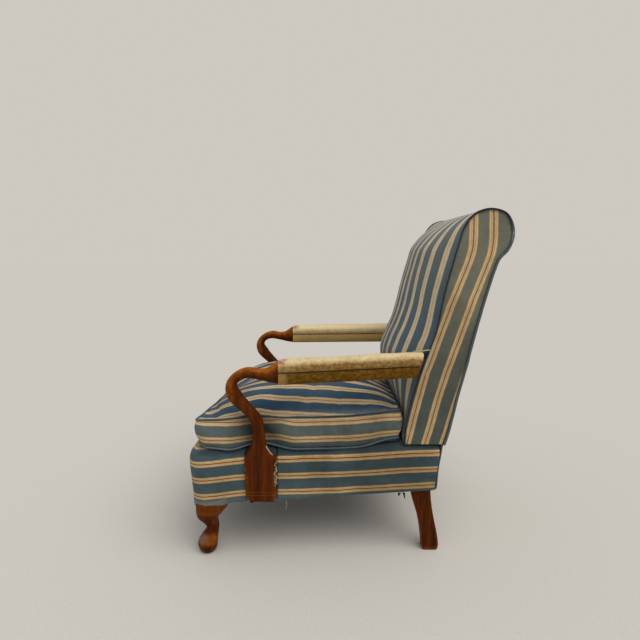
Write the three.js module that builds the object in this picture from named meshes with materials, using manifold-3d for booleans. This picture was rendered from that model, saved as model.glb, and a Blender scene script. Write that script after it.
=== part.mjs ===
// A sagging old armchair: open arms with shepherd's crook supports, a stuffed back that
// rolls over at the top, a loose striped cushion, velvet arm pads and mahogany legs.
// Millimetres, +Z up, front towards -Y, sitter's left towards +X. The outlines below are
// taken in the side view as (y, z) with y = 0 near the arm supports; the whole chair is then
// moved so that the middle of its footprint is the origin.

import * as THREE from 'three';
import { mergeVertices } from 'three/addons/utils/BufferGeometryUtils.js';
import Module from 'manifold-3d';

const wasm = await Module();
wasm.setup();

// Driving dimensions
const CENTRE_Y = 70;            // middle of the footprint, measured from the side view's zero
const GAP = 0.4;                // air between two pieces that touch
const CLOTH = 3;                // cover fabric with its lining

const SEAT_FRONT_HALF = 305;    // half width of the seat border at the front
const SEAT_REAR_HALF = 268;     // half width of the seat border at the rear
const SEAT_FRONT_Y = -354;
const SEAT_REAR_Y = 305;
const SEAT_CORNER = 42;         // plan radius of the front corners
const BORDER_TOP = 318;         // top of the border's front lip
const BORDER_SIDE_DROP = 8;     // how much lower the lip is along the sides
const BORDER_BOTTOM = 150;
const RAIL_THICK = 28;
const RAIL_TOP = 290;
const DECK_LEVEL = 303;         // underside of the deck cloth at its edges
const RAIL_BOTTOM_FRONT = 164;
const RAIL_BOTTOM_RISE = 0.035; // the rails' lower edge climbs towards the rear
const RAIL_SETBACK = 12;        // from the border's outer face to the rail's

const BACK_HALF_LOW = SEAT_REAR_HALF - 2;  // half width of the back at the seat
const BACK_TAPER = 23;          // how much narrower each side is at the roll
const BACK_BOTTOM = 312;
const PANEL_BOTTOM = 311;       // lower edge of the back's side panels
const BACK_TOP = 938;
const ROLL_DROP = 58;           // from the top of the roll down to the top of the posts
const BACK_CROWN = 83;          // how far the stuffing swells out in front of the seams
const CROWN_LOSS = 0.15;        // share of that swell lost between its fullest height and the roll
const POST_WIDTH = 38;
const POST_HALF_LOW = SEAT_REAR_HALF - 6;  // outer face of the rear posts at the floor
const POST_TAPER = 26;          // how much the outer face leans in up to the post's top
const POST_TOP = BACK_TOP - ROLL_DROP;

const SUPPORT_THICK = 28;
const SUPPORT_PROUD = 2.6;      // middle plane of the arm supports outside the border's face
const ARM_SETBACK = 240;        // from the seat's front to the front end of the arm pads
const PAD_FRONT_Y = SEAT_FRONT_Y + ARM_SETBACK;
const PAD_REAR_Y = SEAT_REAR_Y - 62;
const PAD_HALF = 28.5;          // half width of the padded roll
const ARM_RISE = 10;            // how much higher the arm is at its rear end

const CUSHION_FRONT_Y = SEAT_FRONT_Y + 6;
const CUSHION_REAR_Y = SEAT_REAR_Y - 99;
const CUSHION_HALF_FRONT = SEAT_FRONT_HALF - 17;
const CUSHION_HALF_REAR = SEAT_REAR_HALF - 6;
const CUSHION_LIFT = 4.5;       // lower edge of the cushion above the border's lip
const CUSHION_TOP = 391;        // the upper welt along the sides
const CUSHION_CROWN = 54;
const CUSHION_CLIMB = 12;       // how much higher the upper welt is at the back
const CUSHION_NOSE = 8;         // how much lower the upper welt is along the front
const CUSHION_CORNER = 0.022;   // share by which the corners are rounded off
const PINCH = 14;               // how far each arm support presses the cushion in
const FRONT_HOLLOW = 34;        // how far the middle of the cushion's front edge is worn in
const FRONT_SKEW = 20;          // how much further back the cushion's right front corner has slid
const WELT_RADIUS = 3.6;
const PIPING_RADIUS = 3.2;

const STUFF_GAP = 3.4;          // from the inside cover to the stuffing under it

const STRAP_WIDTH = 50;
const STRAP_THICK = 2;
const WEB_SAG = 14;             // sag of the seat webbing
const SEAT_SAG = 20;            // sag of the cloths above the springs
const SPRING_RADIUS = 46;
const SPRING_WAIST = 34;
const SPRING_WIRE = 2;          // wire radius
const SPRING_TURNS = 4;

// Materials
const cloth = (color) => new THREE.MeshStandardMaterial({ color, roughness: 0.92, metalness: 0 });
const stripedFabric = cloth(0x6b7471);
const pipingFabric = cloth(0x20242c);
const velvet = cloth(0xb59a66);
const velvetBorder = cloth(0x7d5c28);
const hessian = cloth(0xa08b62);
const webbing = cloth(0xb3a27c);
const stuffing = cloth(0xc9bfa6);
const blackCloth = cloth(0x1d1c1b);
const calico = cloth(0xcfc6ae);
const mahogany = new THREE.MeshStandardMaterial({ color: 0x6a3018, roughness: 0.38, metalness: 0 });
const beech = new THREE.MeshStandardMaterial({ color: 0xb08a5c, roughness: 0.7, metalness: 0 });
const steel = new THREE.MeshStandardMaterial({ color: 0x8b8d90, roughness: 0.45, metalness: 0.9 });

const chair = new THREE.Group();
chair.position.y = -CENTRE_Y;

// Shared geometry tools

const clamp01 = (t) => Math.min(1, Math.max(0, t));
const mix = (a, b, t) => a + (b - a) * t;

function smooth(from, to, value) {
  const t = clamp01((value - from) / (to - from));
  return t * t * (3 - 2 * t);
}

function power(value, exponent) {
  return Math.sign(value) * Math.pow(Math.abs(value), exponent);
}

// Reads a value off a list of [position, value] pairs in rising order of position.
function along(table, position) {
  let i = 1;
  while (i < table.length - 1 && position > table[i][0]) i += 1;
  const [a, b] = [table[i - 1], table[i]];
  return mix(a[1], b[1], (position - a[0]) / (b[0] - a[0]));
}

// Moves every vertex of a geometry with a function of (x, y, z) that returns [x, y, z].
function moved(geometry, place) {
  const position = geometry.attributes.position;
  for (let i = 0; i < position.count; i += 1) {
    position.setXYZ(i, ...place(position.getX(i), position.getY(i), position.getZ(i)));
  }
  return geometry;
}

function volumeOf(positions, index) {
  let sum = 0;
  for (let i = 0; i < index.length; i += 3) {
    const [a, b, c] = [index[i] * 3, index[i + 1] * 3, index[i + 2] * 3];
    sum += positions[a] * (positions[b + 1] * positions[c + 2] - positions[b + 2] * positions[c + 1]);
    sum += positions[a + 1] * (positions[b + 2] * positions[c] - positions[b] * positions[c + 2]);
    sum += positions[a + 2] * (positions[b] * positions[c + 1] - positions[b + 1] * positions[c]);
  }
  return sum;
}

// Closes a geometry into a solid, with its faces turned outwards.
function solid(geometry) {
  const bare = geometry.clone();
  bare.deleteAttribute('normal');
  bare.deleteAttribute('uv');
  const merged = mergeVertices(bare, 0.001);
  const positions = new Float32Array(merged.attributes.position.array);
  const index = new Uint32Array(merged.index.array);
  if (volumeOf(positions, index) < 0) index.reverse();
  return new wasm.Manifold(new wasm.Mesh({ numProp: 3, vertProperties: positions, triVerts: index }));
}

function cut(body, ...tools) {
  return tools.reduce((rest, tool) => rest.subtract(tool), body);
}

function add(name, body, material) {
  const mesh = body.getMesh();
  const geometry = new THREE.BufferGeometry();
  geometry.setAttribute('position', new THREE.BufferAttribute(new Float32Array(mesh.vertProperties), 3));
  geometry.setIndex(new THREE.BufferAttribute(new Uint32Array(mesh.triVerts), 1));
  geometry.computeVertexNormals();
  const part = new THREE.Mesh(geometry, material);
  part.name = name;
  chair.add(part);
}

// A closed body through a list of rings, each a list of as many [x, y, z] points: a cylinder
// whose rows are moved onto the rings, with flat ends.
function loft(rings) {
  const sides = rings[0].length;
  const rows = rings.length - 1;
  const middle = rings.map((ring) => [0, 1, 2].map((k) => ring.reduce((s, p) => s + p[k], 0) / sides));
  return solid(moved(new THREE.CylinderGeometry(1, 1, 1, sides, rows), (x, y, z) => {
    const row = Math.round((0.5 - y) * rows);
    if (Math.hypot(x, z) < 0.5) return middle[row];
    const column = Math.round((Math.atan2(x, z) / (2 * Math.PI)) * sides);
    return rings[row][(column + sides) % sides];
  }));
}

// A closed ring of round section round a closed path of [x, y, z] points, with the section
// spread outwards from the path's middle and upwards.
function ringTube(path, radius, sides, centre) {
  const steps = path.length;
  const torus = new THREE.TorusGeometry(1, 0.4, sides, steps);
  const position = torus.attributes.position;
  for (let j = 0; j <= sides; j += 1) {
    for (let i = 0; i <= steps; i += 1) {
      const at = path[i % steps];
      const before = path[(i + steps - 1) % steps];
      const after = path[(i + 1) % steps];
      const out = new THREE.Vector2(after[1] - before[1], before[0] - after[0]).normalize();
      if (out.x * (at[0] - centre[0]) + out.y * (at[1] - centre[1]) < 0) out.negate();
      const turn = ((j % sides) / sides) * 2 * Math.PI;
      const side = radius * Math.cos(turn);
      const lift = radius * Math.sin(turn);
      position.setXYZ(j * (steps + 1) + i, at[0] + out.x * side, at[1] + out.y * side, at[2] + lift);
    }
  }
  return solid(torus);
}

// A tube of round section along an open path of THREE.Vector3 points.
function tube(points, radius, sides, steps) {
  const section = new THREE.Shape();
  for (let k = 0; k < sides; k += 1) {
    const turn = (k / sides) * 2 * Math.PI;
    const [x, y] = [radius * Math.cos(turn), radius * Math.sin(turn)];
    if (k === 0) section.moveTo(x, y);
    else section.lineTo(x, y);
  }
  const extrudePath = new THREE.CatmullRomCurve3(points);
  return solid(new THREE.ExtrudeGeometry(section, { steps, extrudePath, bevelEnabled: false }));
}

// A straight prism over a side-view outline of [y, z] points; place maps (u, y, z), with u from
// 0 to 1 across the prism, to the chair's x, y, z.
function prism(outline, steps, place) {
  const shape = new THREE.Shape(outline.map(([y, z]) => new THREE.Vector2(y, z)));
  const geometry = new THREE.ExtrudeGeometry(shape, { depth: 1, steps, bevelEnabled: false });
  return solid(moved(geometry, (y, z, u) => place(u, y, z)));
}

function block(x0, x1, y0, y1, z0, z1) {
  const geometry = new THREE.BoxGeometry(x1 - x0, y1 - y0, z1 - z0);
  geometry.translate((x0 + x1) / 2, (y0 + y1) / 2, (z0 + z1) / 2);
  return solid(geometry);
}

// A thin or thick sheet over the plan: place maps (u, v), each from -1 to 1, to [x, y, bottom, top].
function sheet(across, deep, place) {
  return solid(moved(new THREE.BoxGeometry(2, 2, 2, across, deep, 1), (u, v, t) => {
    const [x, y, bottom, top] = place(u, v);
    return [x, y, t < 0 ? bottom : top];
  }));
}

function planPrism(outline, bottom, top) {
  const shape = new THREE.Shape(outline.map(([x, y]) => new THREE.Vector2(x, y)));
  const geometry = new THREE.ExtrudeGeometry(shape, { depth: top - bottom, bevelEnabled: false });
  geometry.translate(0, 0, bottom);
  return solid(geometry);
}

const sides = [['left', 1], ['right', -1]];

// Seat frame: beech rails, front leg stumps and corner blocks

const TAPER = (SEAT_FRONT_HALF - SEAT_REAR_HALF) / (SEAT_REAR_Y - SEAT_FRONT_Y);
const borderHalf = (y) => SEAT_FRONT_HALF - TAPER * (y - SEAT_FRONT_Y);
const railOuter = (y) => borderHalf(y) - RAIL_SETBACK;
const railInner = (y) => railOuter(y) - RAIL_THICK;
const railBottom = (y) => RAIL_BOTTOM_FRONT + RAIL_BOTTOM_RISE * (y - SEAT_FRONT_Y);
const STUMP = 45;               // side of the square stump above each front leg
const STUMP_OUTER = SEAT_FRONT_HALF - RAIL_SETBACK;
const STUMP_CORNER = SEAT_CORNER - RAIL_SETBACK;
const STUMP_FRONT = SEAT_FRONT_Y + RAIL_SETBACK;
const STUMP_REAR = STUMP_FRONT + STUMP;
const STUMP_INNER = STUMP_OUTER - STUMP;
const FRONT_RAIL_REAR = STUMP_FRONT + RAIL_THICK;
const LEG_TOP = BORDER_BOTTOM - GAP;

// Height at a share of the back, from its seam at the seat to the top of its roll.
const backZ = (share) => mix(BACK_BOTTOM, BACK_TOP, share);

// Front and rear faces of the rear posts in the side view: height, distance behind the seat's
// rear edge
const POST_HEEL = RAIL_BOTTOM_FRONT + 9;  // where the raked foot meets the upright
const POST_KNEE = 232;                    // where the upright starts to lean back
const postFront = [
  [POST_HEEL, -61], [POST_KNEE, -56], [310, -40], [backZ(0.053), -29], [backZ(0.204), -7],
  [backZ(0.348), 15], [backZ(0.492), 37], [backZ(0.62), 60], [backZ(0.732), 83],
  [backZ(0.843), 99], [POST_TOP, 106],
].map(([z, behind]) => [z, SEAT_REAR_Y + behind]);
const postRear = [
  [POST_HEEL, -8], [POST_KNEE, -6], [310, 9], [backZ(0.053), 19], [backZ(0.204), 41],
  [backZ(0.348), 63], [backZ(0.492), 83], [backZ(0.62), 106], [backZ(0.754), 129],
  [backZ(0.811), 142], [POST_TOP, 159],
].map(([z, behind]) => [z, SEAT_REAR_Y + behind]);

const postOuter = (z) => POST_HALF_LOW - (POST_TAPER * z) / POST_TOP;
const postInner = (z) => postOuter(z) - POST_WIDTH;

// Front and rear faces of the raked foot, as distance behind the seat's rear edge and height
const legFront = [[-27, 0], [-30, 36], [-35, 73], [-44, 109], [-57, 144]].map(
  ([behind, z]) => [SEAT_REAR_Y + behind, z]);
const legRear = [[15, 0], [18, 14], [15, 44], [5, 84], [-3, 127]].map(
  ([behind, z]) => [SEAT_REAR_Y + behind, z]);

function rearPost(side, grow) {
  const heights = [...postFront.map(([z]) => z).slice(0, -1), POST_TOP + grow];
  const front = heights.map((z) => [along(postFront, z) - grow, z]);
  const rear = heights.map((z) => [along(postRear, z) + grow, z]).reverse();
  const foot = [...legRear].reverse().map(([y, z]) => [y + grow, z]);
  const toe = legFront.map(([y, z]) => [y - grow, z]);
  return prism([...front, ...rear, ...foot, ...toe], 1, (u, y, z) => {
    const outer = postOuter(z) + grow;
    return [side * (outer - (POST_WIDTH + 2 * grow) * u), y, z];
  });
}

for (const [name, side] of sides) add(`${name}_rear_leg_post`, rearPost(side, 0), mahogany);

const railEnd = (z) => along(postFront, z) - GAP;

const frontRailHalf = STUMP_INNER - GAP;
add('front_rail', block(
  -frontRailHalf, frontRailHalf, STUMP_FRONT, FRONT_RAIL_REAR, railBottom(STUMP_FRONT), RAIL_TOP), beech);

const BACK_RAIL_Y = SEAT_REAR_Y - 37;
const BACK_RAIL_THICK = 25;

// A rail that fits between the two rear posts, which lean in towards each other.
function betweenPosts(y0, y1, z0, z1, short) {
  return prism([[y0, z0], [y1, z0], [y1, z1], [y0, z1]], 1, (u, y, z) => {
    const half = postInner(z) - short;
    return [mix(-half, half, u), y, z];
  });
}

add('back_rail', betweenPosts(
  BACK_RAIL_Y, BACK_RAIL_Y + BACK_RAIL_THICK, railBottom(BACK_RAIL_Y), RAIL_TOP, GAP), beech);

// Corner blocks, glued into the angle between the rails
const BLOCK_TOP = RAIL_TOP - 6;
const BLOCK_DEPTH = 65;
const BLOCK_REACH = 58;         // how far a block reaches along each rail
const REAR_BLOCK_END = SEAT_REAR_Y - 63;

function frontBlockOutline() {
  const x = STUMP_INNER - GAP;
  const y = FRONT_RAIL_REAR + GAP;
  const start = STUMP_REAR + GAP;
  const reach = STUMP_REAR + BLOCK_REACH;
  return [[x - BLOCK_REACH, y], [x, y], [x, start], [railInner(start) - GAP, start],
    [railInner(reach) - GAP, reach]];
}

function rearBlockOutline() {
  const x = postInner(BLOCK_TOP) - GAP;
  const y = BACK_RAIL_Y - GAP;
  const start = REAR_BLOCK_END - BLOCK_REACH;
  return [[railInner(start) - GAP, start], [railInner(REAR_BLOCK_END) - GAP, REAR_BLOCK_END],
    [x, REAR_BLOCK_END], [x, y], [x - BLOCK_REACH, y]];
}

for (const [name, side] of sides) {
  for (const [end, outline] of [['front', frontBlockOutline()], ['rear', rearBlockOutline()]]) {
    const turned = outline.map(([x, y]) => [side * x, y]);
    add(`${name}_${end}_corner_block`, planPrism(turned, BLOCK_TOP - BLOCK_DEPTH, BLOCK_TOP), beech);
  }
}

// Cabriole front legs: knee with ears, slim ankle and pad foot, and a square stump in the corner

const LEG_STATIONS = [
  // z, then inset of the front, rear, outer and inner faces from the seat's front or side, squareness
  [0, 18, 48, 24, 55, 2],
  [7, 10, 54, 17, 62, 2],
  [16, 6, 57, 13, 66, 2],
  [26, 4, 58.5, 12, 67, 2],
  [36, 7, 59.5, 15, 66, 2],
  [49, 15, 60.5, 22, 64, 2],
  [58, 23, 61, 29, 64, 2],
  [67, 27, 62, 32, 64, 2],
  [76, 24, 62, 30, 64, 2.1],
  [88, 17, 61, 23, 64, 2.3],
  [100, 9, 62, 15, 65, 2.6],
  [112, 4.5, 69, 10, 72, 3],
  [124, 3, 80, 8, 83, 3.4],
  [137, 3, 90, 7, 93, 3.8],
  [LEG_TOP, 4, 95, 7, 98, 4],
];

function superRing(count, exponent, place) {
  return Array.from({ length: count }, (_, k) => {
    const turn = ((k + 0.5) / count) * 2 * Math.PI;
    return place(power(Math.cos(turn), 2 / exponent), power(Math.sin(turn), 2 / exponent));
  });
}

const STUMP_CORNER_STEPS = 5;
const STUMP_SHORT = 8;          // how far the stump stops below the rails' top

for (const [name, side] of sides) {
  const rings = LEG_STATIONS.map(([z, front, rear, outer, inner, squareness]) => {
    const [x, y] = [SEAT_FRONT_HALF - (outer + inner) / 2, SEAT_FRONT_Y + (front + rear) / 2];
    return superRing(14, squareness, (a, b) => [
      side * (x + (a * (inner - outer)) / 2), y + (b * (rear - front)) / 2, z]);
  });
  const outline = [
    [STUMP_OUTER - TAPER * STUMP, STUMP_REAR], [STUMP_INNER, STUMP_REAR], [STUMP_INNER, STUMP_FRONT]];
  for (let k = 0; k <= STUMP_CORNER_STEPS; k += 1) {
    const turn = (k / STUMP_CORNER_STEPS) * (Math.PI / 2);
    const x = STUMP_OUTER - 2 - STUMP_CORNER * (1 - Math.sin(turn));
    outline.push([x, STUMP_FRONT + STUMP_CORNER * (1 - Math.cos(turn))]);
  }
  const turned = outline.map(([x, y]) => [side * x, y]);
  const stump = planPrism(turned, LEG_TOP - 5, RAIL_TOP - STUMP_SHORT);
  add(`${name}_front_leg`, loft(rings).add(stump), mahogany);
}

// Arm supports: one carved piece each, a flat panel let into the side rail, a round neck that
// bends forward like a shepherd's crook, and a flare that meets the arm

const SUPPORT_STATIONS = [
  // outer y from the pad's front end, z, inner y and z, thickness, squareness
  [-1, 549, -1, 489.5, 46, 3],
  [-8, 547, -8, 490.5, 44, 2.8],
  [-19, 539, -19, 492, 39, 2.5],
  [-32, 531, -32, 494.5, 34, 2.3],
  [-52, 529, -51, 499, 30, 2.2],
  [-76, 533, -72, 503, 30, 2.2],
  [-95, 530, -87, 503.5, 30, 2.2],
  [-112, 522, -98, 500.5, 30, 2.2],
  [-126, 511, -105.5, 496, 30, 2.2],
  [-136, 497, -110, 489.5, 30, 2.2],
  [-141.5, 480, -111, 483, 30, 2.2],
  [-140.5, 463, -107.5, 475.5, 30, 2.2],
  [-134, 447, -100, 466, 30, 2.2],
  [-121, 432, -93, 455, 30, 2.2],
  [-103, 416, -79.5, 438, 30, 2.2],
  [-87, 401, -62, 418, 30, 2.2],
  [-78, 386, -49, 398.5, 30, 2.2],
  [-74, 370, -43, 376, 30, 2.2],
  [-72, 352, -41, 354, 30, 2.3],
  [-73.5, 334, -39, 335, 30, 2.5],
  [-78.5, 318, -35.5, 319, 30, 3],
  [-86, 304, -27.5, 304.5, 30, 4],
  [-92.5, 293, -18, 293, 30, 6],
  [-94.5, 284, -11, 284, 30, 8],
  [-93.5, 240, -10, 240, 30, 8],
  [-93, 196, -13, 196, 30, 8],
  [-89, 175, -15, 175, 29, 7],
  [-82, 168, -19, 168, 27, 6],
];
const SUPPORT_Y = PAD_FRONT_Y - 52;  // middle of the flat panel
const SUPPORT_X = borderHalf(SUPPORT_Y) + SUPPORT_PROUD;
const BLANK = 30;               // the thickness that the table is written for

function armSupport(side, grow) {
  const scale = SUPPORT_THICK / BLANK;
  return loft(SUPPORT_STATIONS.map(([y0, z0, y1, z1, thick, squareness]) => {
    const length = Math.hypot(y1 - y0, z1 - z0);
    const [ey, ez] = [((y0 - y1) / length) * grow, ((z0 - z1) / length) * grow];
    const half = (thick * scale) / 2 + grow;
    return superRing(12, squareness, (a, b) => [
      side * (SUPPORT_X + half * b),
      PAD_FRONT_Y + mix(y1 - ey, y0 + ey, (a + 1) / 2),
      mix(z1 - ez, z0 + ez, (a + 1) / 2),
    ]);
  }));
}

// Arms: a wooden rail from the support's flare to the rear post, a velvet border round it and
// a padded roll on top

const PAD_X_FRONT = SUPPORT_X + 3;
const PAD_X_REAR = BACK_HALF_LOW - 2;
const ARM_BOTTOM = 490;
const ARM_BORDER = 33;          // height of the velvet border below the roll
const ARM_ROLL = 31;            // height of the padded roll
const ARM_SPLIT = ARM_BOTTOM + ARM_BORDER;
const armRise = (y) => ARM_RISE * clamp01((y - PAD_FRONT_Y) / (PAD_REAR_Y - PAD_FRONT_Y));
const padX = (y) => mix(PAD_X_FRONT, PAD_X_REAR, clamp01((y - PAD_FRONT_Y) / (PAD_REAR_Y - PAD_FRONT_Y)));
const padRear = (z) => PAD_REAR_Y + (z - ARM_BOTTOM - ARM_RISE) * ARM_LEAN;
const ARM_LEAN = 0.3;           // slope of the arm's rear end, which lies against the back
const ARM_RAIL_PLAN = [
  // y, middle x, half width: straight along the pad, then jogging in to the post's front face
  [PAD_FRONT_Y + GAP, PAD_X_FRONT - 1, 14],
  [PAD_REAR_Y - 63, padX(PAD_REAR_Y - 63) - 4.4, 12],
  [PAD_REAR_Y, PAD_X_REAR - 14, 10.5],
  [PAD_REAR_Y + 12, PAD_X_REAR - 22.5, 10.5],
  [PAD_REAR_Y + 79, postOuter(ARM_BOTTOM) - 11.5, 10.5],
];

function armRail(side, grow) {
  const rings = ARM_RAIL_PLAN.map(([y, x, half], k) => {
    const last = k === ARM_RAIL_PLAN.length - 1;
    const low = ARM_BOTTOM + 4 + armRise(y) - grow;
    const high = ARM_SPLIT - GAP + armRise(y) + grow;
    const reach = k === 0 ? -grow : 0;
    return [[-1, low], [1, low], [1, high], [-1, high]].map(([w, z]) => [
      side * (x + w * (half + grow)), (last ? along(postFront, z) - GAP : y) + reach, z]);
  });
  return loft(rings);
}

const DOWEL_Z = ARM_BOTTOM + 22;
const DOWEL_RADIUS = 4.5;
const DOWEL_LENGTH = 44;

function dowel(side, grow) {
  const radius = DOWEL_RADIUS + grow;
  const geometry = new THREE.CylinderGeometry(radius, radius, DOWEL_LENGTH + 2 * grow, 10);
  geometry.translate(side * (PAD_X_FRONT - 1), PAD_FRONT_Y - 1, DOWEL_Z);
  return solid(geometry);
}

const SCREW_RADIUS = 2.5;
const SCREW_HEAD = 5;           // radius of the head
const SCREW_HEAD_THICK = 3;
const SCREW_LENGTH = RAIL_THICK + 12;
const SCREW_HEIGHTS = [270, 200];

// A screw through the side rail into the arm support, its head against the rail's inner face.
function armScrew(side, z, grow) {
  const inner = railInner(SUPPORT_Y) - 2;
  const rod = (radius, length, x) => {
    const geometry = new THREE.CylinderGeometry(radius + grow, radius + grow, length + 2 * grow, 8);
    geometry.rotateZ(Math.PI / 2);
    geometry.translate(side * x, SUPPORT_Y, z);
    return solid(geometry);
  };
  const shank = rod(SCREW_RADIUS, SCREW_LENGTH, inner + SCREW_LENGTH / 2);
  return shank.add(rod(SCREW_HEAD, SCREW_HEAD_THICK, inner - SCREW_HEAD_THICK / 2 + 0.3));
}

for (const [name, side] of sides) {
  const holes = SCREW_HEIGHTS.map((z) => armScrew(side, z, GAP));
  add(`${name}_arm_support`, cut(armSupport(side, 0), dowel(side, GAP), ...holes), mahogany);
  SCREW_HEIGHTS.forEach((z, k) => add(`${name}_arm_screw_${k + 1}`, armScrew(side, z, 0), steel));

  const railRear = railBottom(SEAT_REAR_Y - 60);
  const rail = [[STUMP_REAR + GAP, railBottom(STUMP_REAR)], [railEnd(railRear), railRear],
    [railEnd(POST_KNEE), POST_KNEE], [railEnd(RAIL_TOP), RAIL_TOP], [STUMP_REAR + GAP, RAIL_TOP]];
  const plank = prism(rail, 1, (u, y, z) => [side * mix(railOuter(y), railInner(y), u), y, z]);
  add(`${name}_side_rail`, cut(plank, armSupport(side, GAP), ...holes), beech);

  add(`${name}_arm_rail`, cut(armRail(side, 0), dowel(side, GAP)), beech);
  add(`${name}_arm_dowel`, dowel(side, 0), beech);

  const borderRings = [0, 0.32, 0.66, 1].map((share) => {
    const y = mix(PAD_FRONT_Y, PAD_REAR_Y, share);
    const half = PAD_HALF - 2;
    const low = ARM_BOTTOM + armRise(y);
    const high = ARM_SPLIT + armRise(y) - GAP;
    return [[-1, low], [1, low], [1, high], [-1, high]].map(([w, z]) => [
      side * (padX(y) + w * half), y === PAD_REAR_Y ? padRear(z) : y, z]);
  });
  const slot = armRail(side, GAP).add(armRail(side, GAP).translate([0, 0, 6]));
  const opening = armRail(side, GAP).translate([0, -6, 0]);
  add(`${name}_arm_border`, cut(loft(borderRings), slot, opening), velvetBorder);

  const swells = [[0, 0.86], [0.03, 1], [0.3, 1.01], [0.6, 0.99], [0.97, 1], [1, 0.9]];
  const rollRings = swells.map(([s, swell]) => {
    const y = mix(PAD_FRONT_Y, PAD_REAR_Y, s);
    const low = ARM_SPLIT + armRise(y);
    const height = (ARM_ROLL + 3 * s) * mix(1, swell, 0.7);
    return Array.from({ length: 14 }, (_, k) => {
      const turn = (k / 14) * 2 * Math.PI;
      const across = power(Math.sin(turn), 0.8) * PAD_HALF * swell;
      const up = Math.max(0, 0.42 + 0.58 * power(Math.cos(turn), 0.9));
      const z = low + height * Math.max(0, (up - 0.02));
      return [side * (padX(y) + across), mix(PAD_FRONT_Y, padRear(z), s), z];
    });
  });
  add(`${name}_arm_pad`, loft(rollRings), velvet);
}

// Seat border: striped fabric round the front and side rails, rolled over the top edge

const BORDER_ROWS = [
  // height, inset from the widest line
  [BORDER_BOTTOM, 7], [BORDER_BOTTOM + 40, 6], [BORDER_BOTTOM + 77, 4], [BORDER_TOP - 60, 1],
  [BORDER_TOP - 40, 0], [BORDER_TOP - 27, 3], [BORDER_TOP - 16, 9], [BORDER_TOP - 8, 17], [BORDER_TOP, 28],
];
const LIP_WIDTH = 44;

const SIDE_SHARES = [0, 0.31, 0.61, 0.81, 0.86, 0.9];

// Plan outline of the seat, inset by a distance, from the rear left round the front to the rear right.
function planRing(inset, rearY) {
  const half = (y) => borderHalf(y) - inset;
  const radius = Math.max(4, SEAT_CORNER - inset);
  const front = SEAT_FRONT_Y + inset;
  const points = SIDE_SHARES.map((share, k) => {
    const y = k === 0 ? rearY : mix(SEAT_REAR_Y, SEAT_FRONT_Y, share);
    return [half(y), y];
  });
  for (let k = 0; k <= 6; k += 1) {
    const turn = (k / 6) * (Math.PI / 2);
    const y = front + radius - radius * Math.sin(turn);
    points.push([half(front + radius) - radius + radius * Math.cos(turn), y]);
  }
  points.push([SEAT_FRONT_HALF / 3, front]);
  const mirrored = [...points].reverse().map(([x, y]) => [-x, y]);
  return [...points, ...mirrored];
}

const sideDrop = (y) => BORDER_SIDE_DROP * smooth(SEAT_FRONT_Y + 34, SEAT_FRONT_Y + 124, y);
const lipTop = (y) => BORDER_TOP - sideDrop(y);

function seatShell(rows, rearY) {
  return loft(rows.map(([z, inset]) => planRing(inset, rearY).map(([x, y]) => [
    x, y, z - sideDrop(y) * smooth(BORDER_TOP - 60, BORDER_TOP, z)])));
}

const outerBorder = seatShell(BORDER_ROWS, SEAT_REAR_Y);
const innerRows = BORDER_ROWS.map(([z, inset], k) => {
  if (k === 0) return [z - 20, inset + CLOTH];
  return [z - (k > 4 ? CLOTH * ((k - 4) / 4) : 0), inset + CLOTH];
});
const innerBorder = seatShell(innerRows, SEAT_REAR_Y + 20);
const deckHole = planPrism(planRing(LIP_WIDTH, SEAT_REAR_Y + 20), RAIL_TOP - 10, BORDER_TOP + 20);
// The sides' lower edge climbs from behind the front legs towards the rear
const underLine = [[58, -20], [70, 2], [100, 11], [142, 14]].map(
  ([behind, up]) => [SEAT_FRONT_Y + behind, BORDER_BOTTOM + up]);
const underEnd = SEAT_REAR_Y + 10;
const underCut = prism(
  [...underLine, [underEnd, BORDER_BOTTOM + 34], [underEnd, BORDER_BOTTOM - 20]],
  1, (u, y, z) => [mix(-2, 2, u) * SEAT_FRONT_HALF, y, z]);
const supports = sides.map(([, side]) => armSupport(side, 2 * GAP));

// Clears the cloth outside each support's flat panel, so that nothing of it is left there
const PANEL_REACH = 33.5;
const openHousing = sides.map(([, side]) => {
  const [x0, x1] = [side * SUPPORT_X, side * (SEAT_FRONT_HALF + 25)];
  const [y0, y1] = [SUPPORT_Y - PANEL_REACH, SUPPORT_Y + PANEL_REACH];
  return planPrism([[x0, y0], [x1, y0], [x1, y1], [x0, y1]], BORDER_BOTTOM + 25, BORDER_TOP - 26);
});
const postNotches = sides.map(([, side]) => rearPost(side, 1));
const borderShell = cut(outerBorder, innerBorder, deckHole, underCut);
add('seat_border', cut(borderShell, ...supports, ...openHousing, ...postNotches), stripedFabric);

// Seat deck: webbing, springs, hessian, stuffing and a plain cloth, all sunk towards the middle

const DECK_REAR_Y = SEAT_REAR_Y - 55;
const HESSIAN_TACK = 17;
const HESSIAN_THICK = 1.2;
const CALICO_THICK = 1.5;
const deckHalf = (y) => borderHalf(y) - LIP_WIDTH - 3;
const DECK_FRONT_Y = SEAT_FRONT_Y + LIP_WIDTH + 3;
const DECK_MID_Y = (DECK_FRONT_Y + DECK_REAR_Y) / 2;

// One in the middle of the deck, falling to nothing at its edges.
function hollow(x, y) {
  const deep = (y - DECK_MID_Y) / (DECK_REAR_Y - DECK_MID_Y);
  return Math.max(0, 1 - (x / deckHalf(y)) ** 2) * Math.max(0, 1 - deep ** 2);
}

const webTop = (x, y) => railBottom(y) - GAP - WEB_SAG * hollow(x, y);

[0.22, 0.48, 0.73].forEach((share, k) => {
  const y0 = mix(SEAT_FRONT_Y, SEAT_REAR_Y, share);
  add(`seat_webbing_across_${k + 1}`, sheet(8, 1, (u, v) => {
    const y = y0 + (v * STRAP_WIDTH) / 2;
    const x = u * (railOuter(y) - 6);
    const top = webTop(x, y);
    return [x, y, top - STRAP_THICK, top];
  }), webbing);
});

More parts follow.
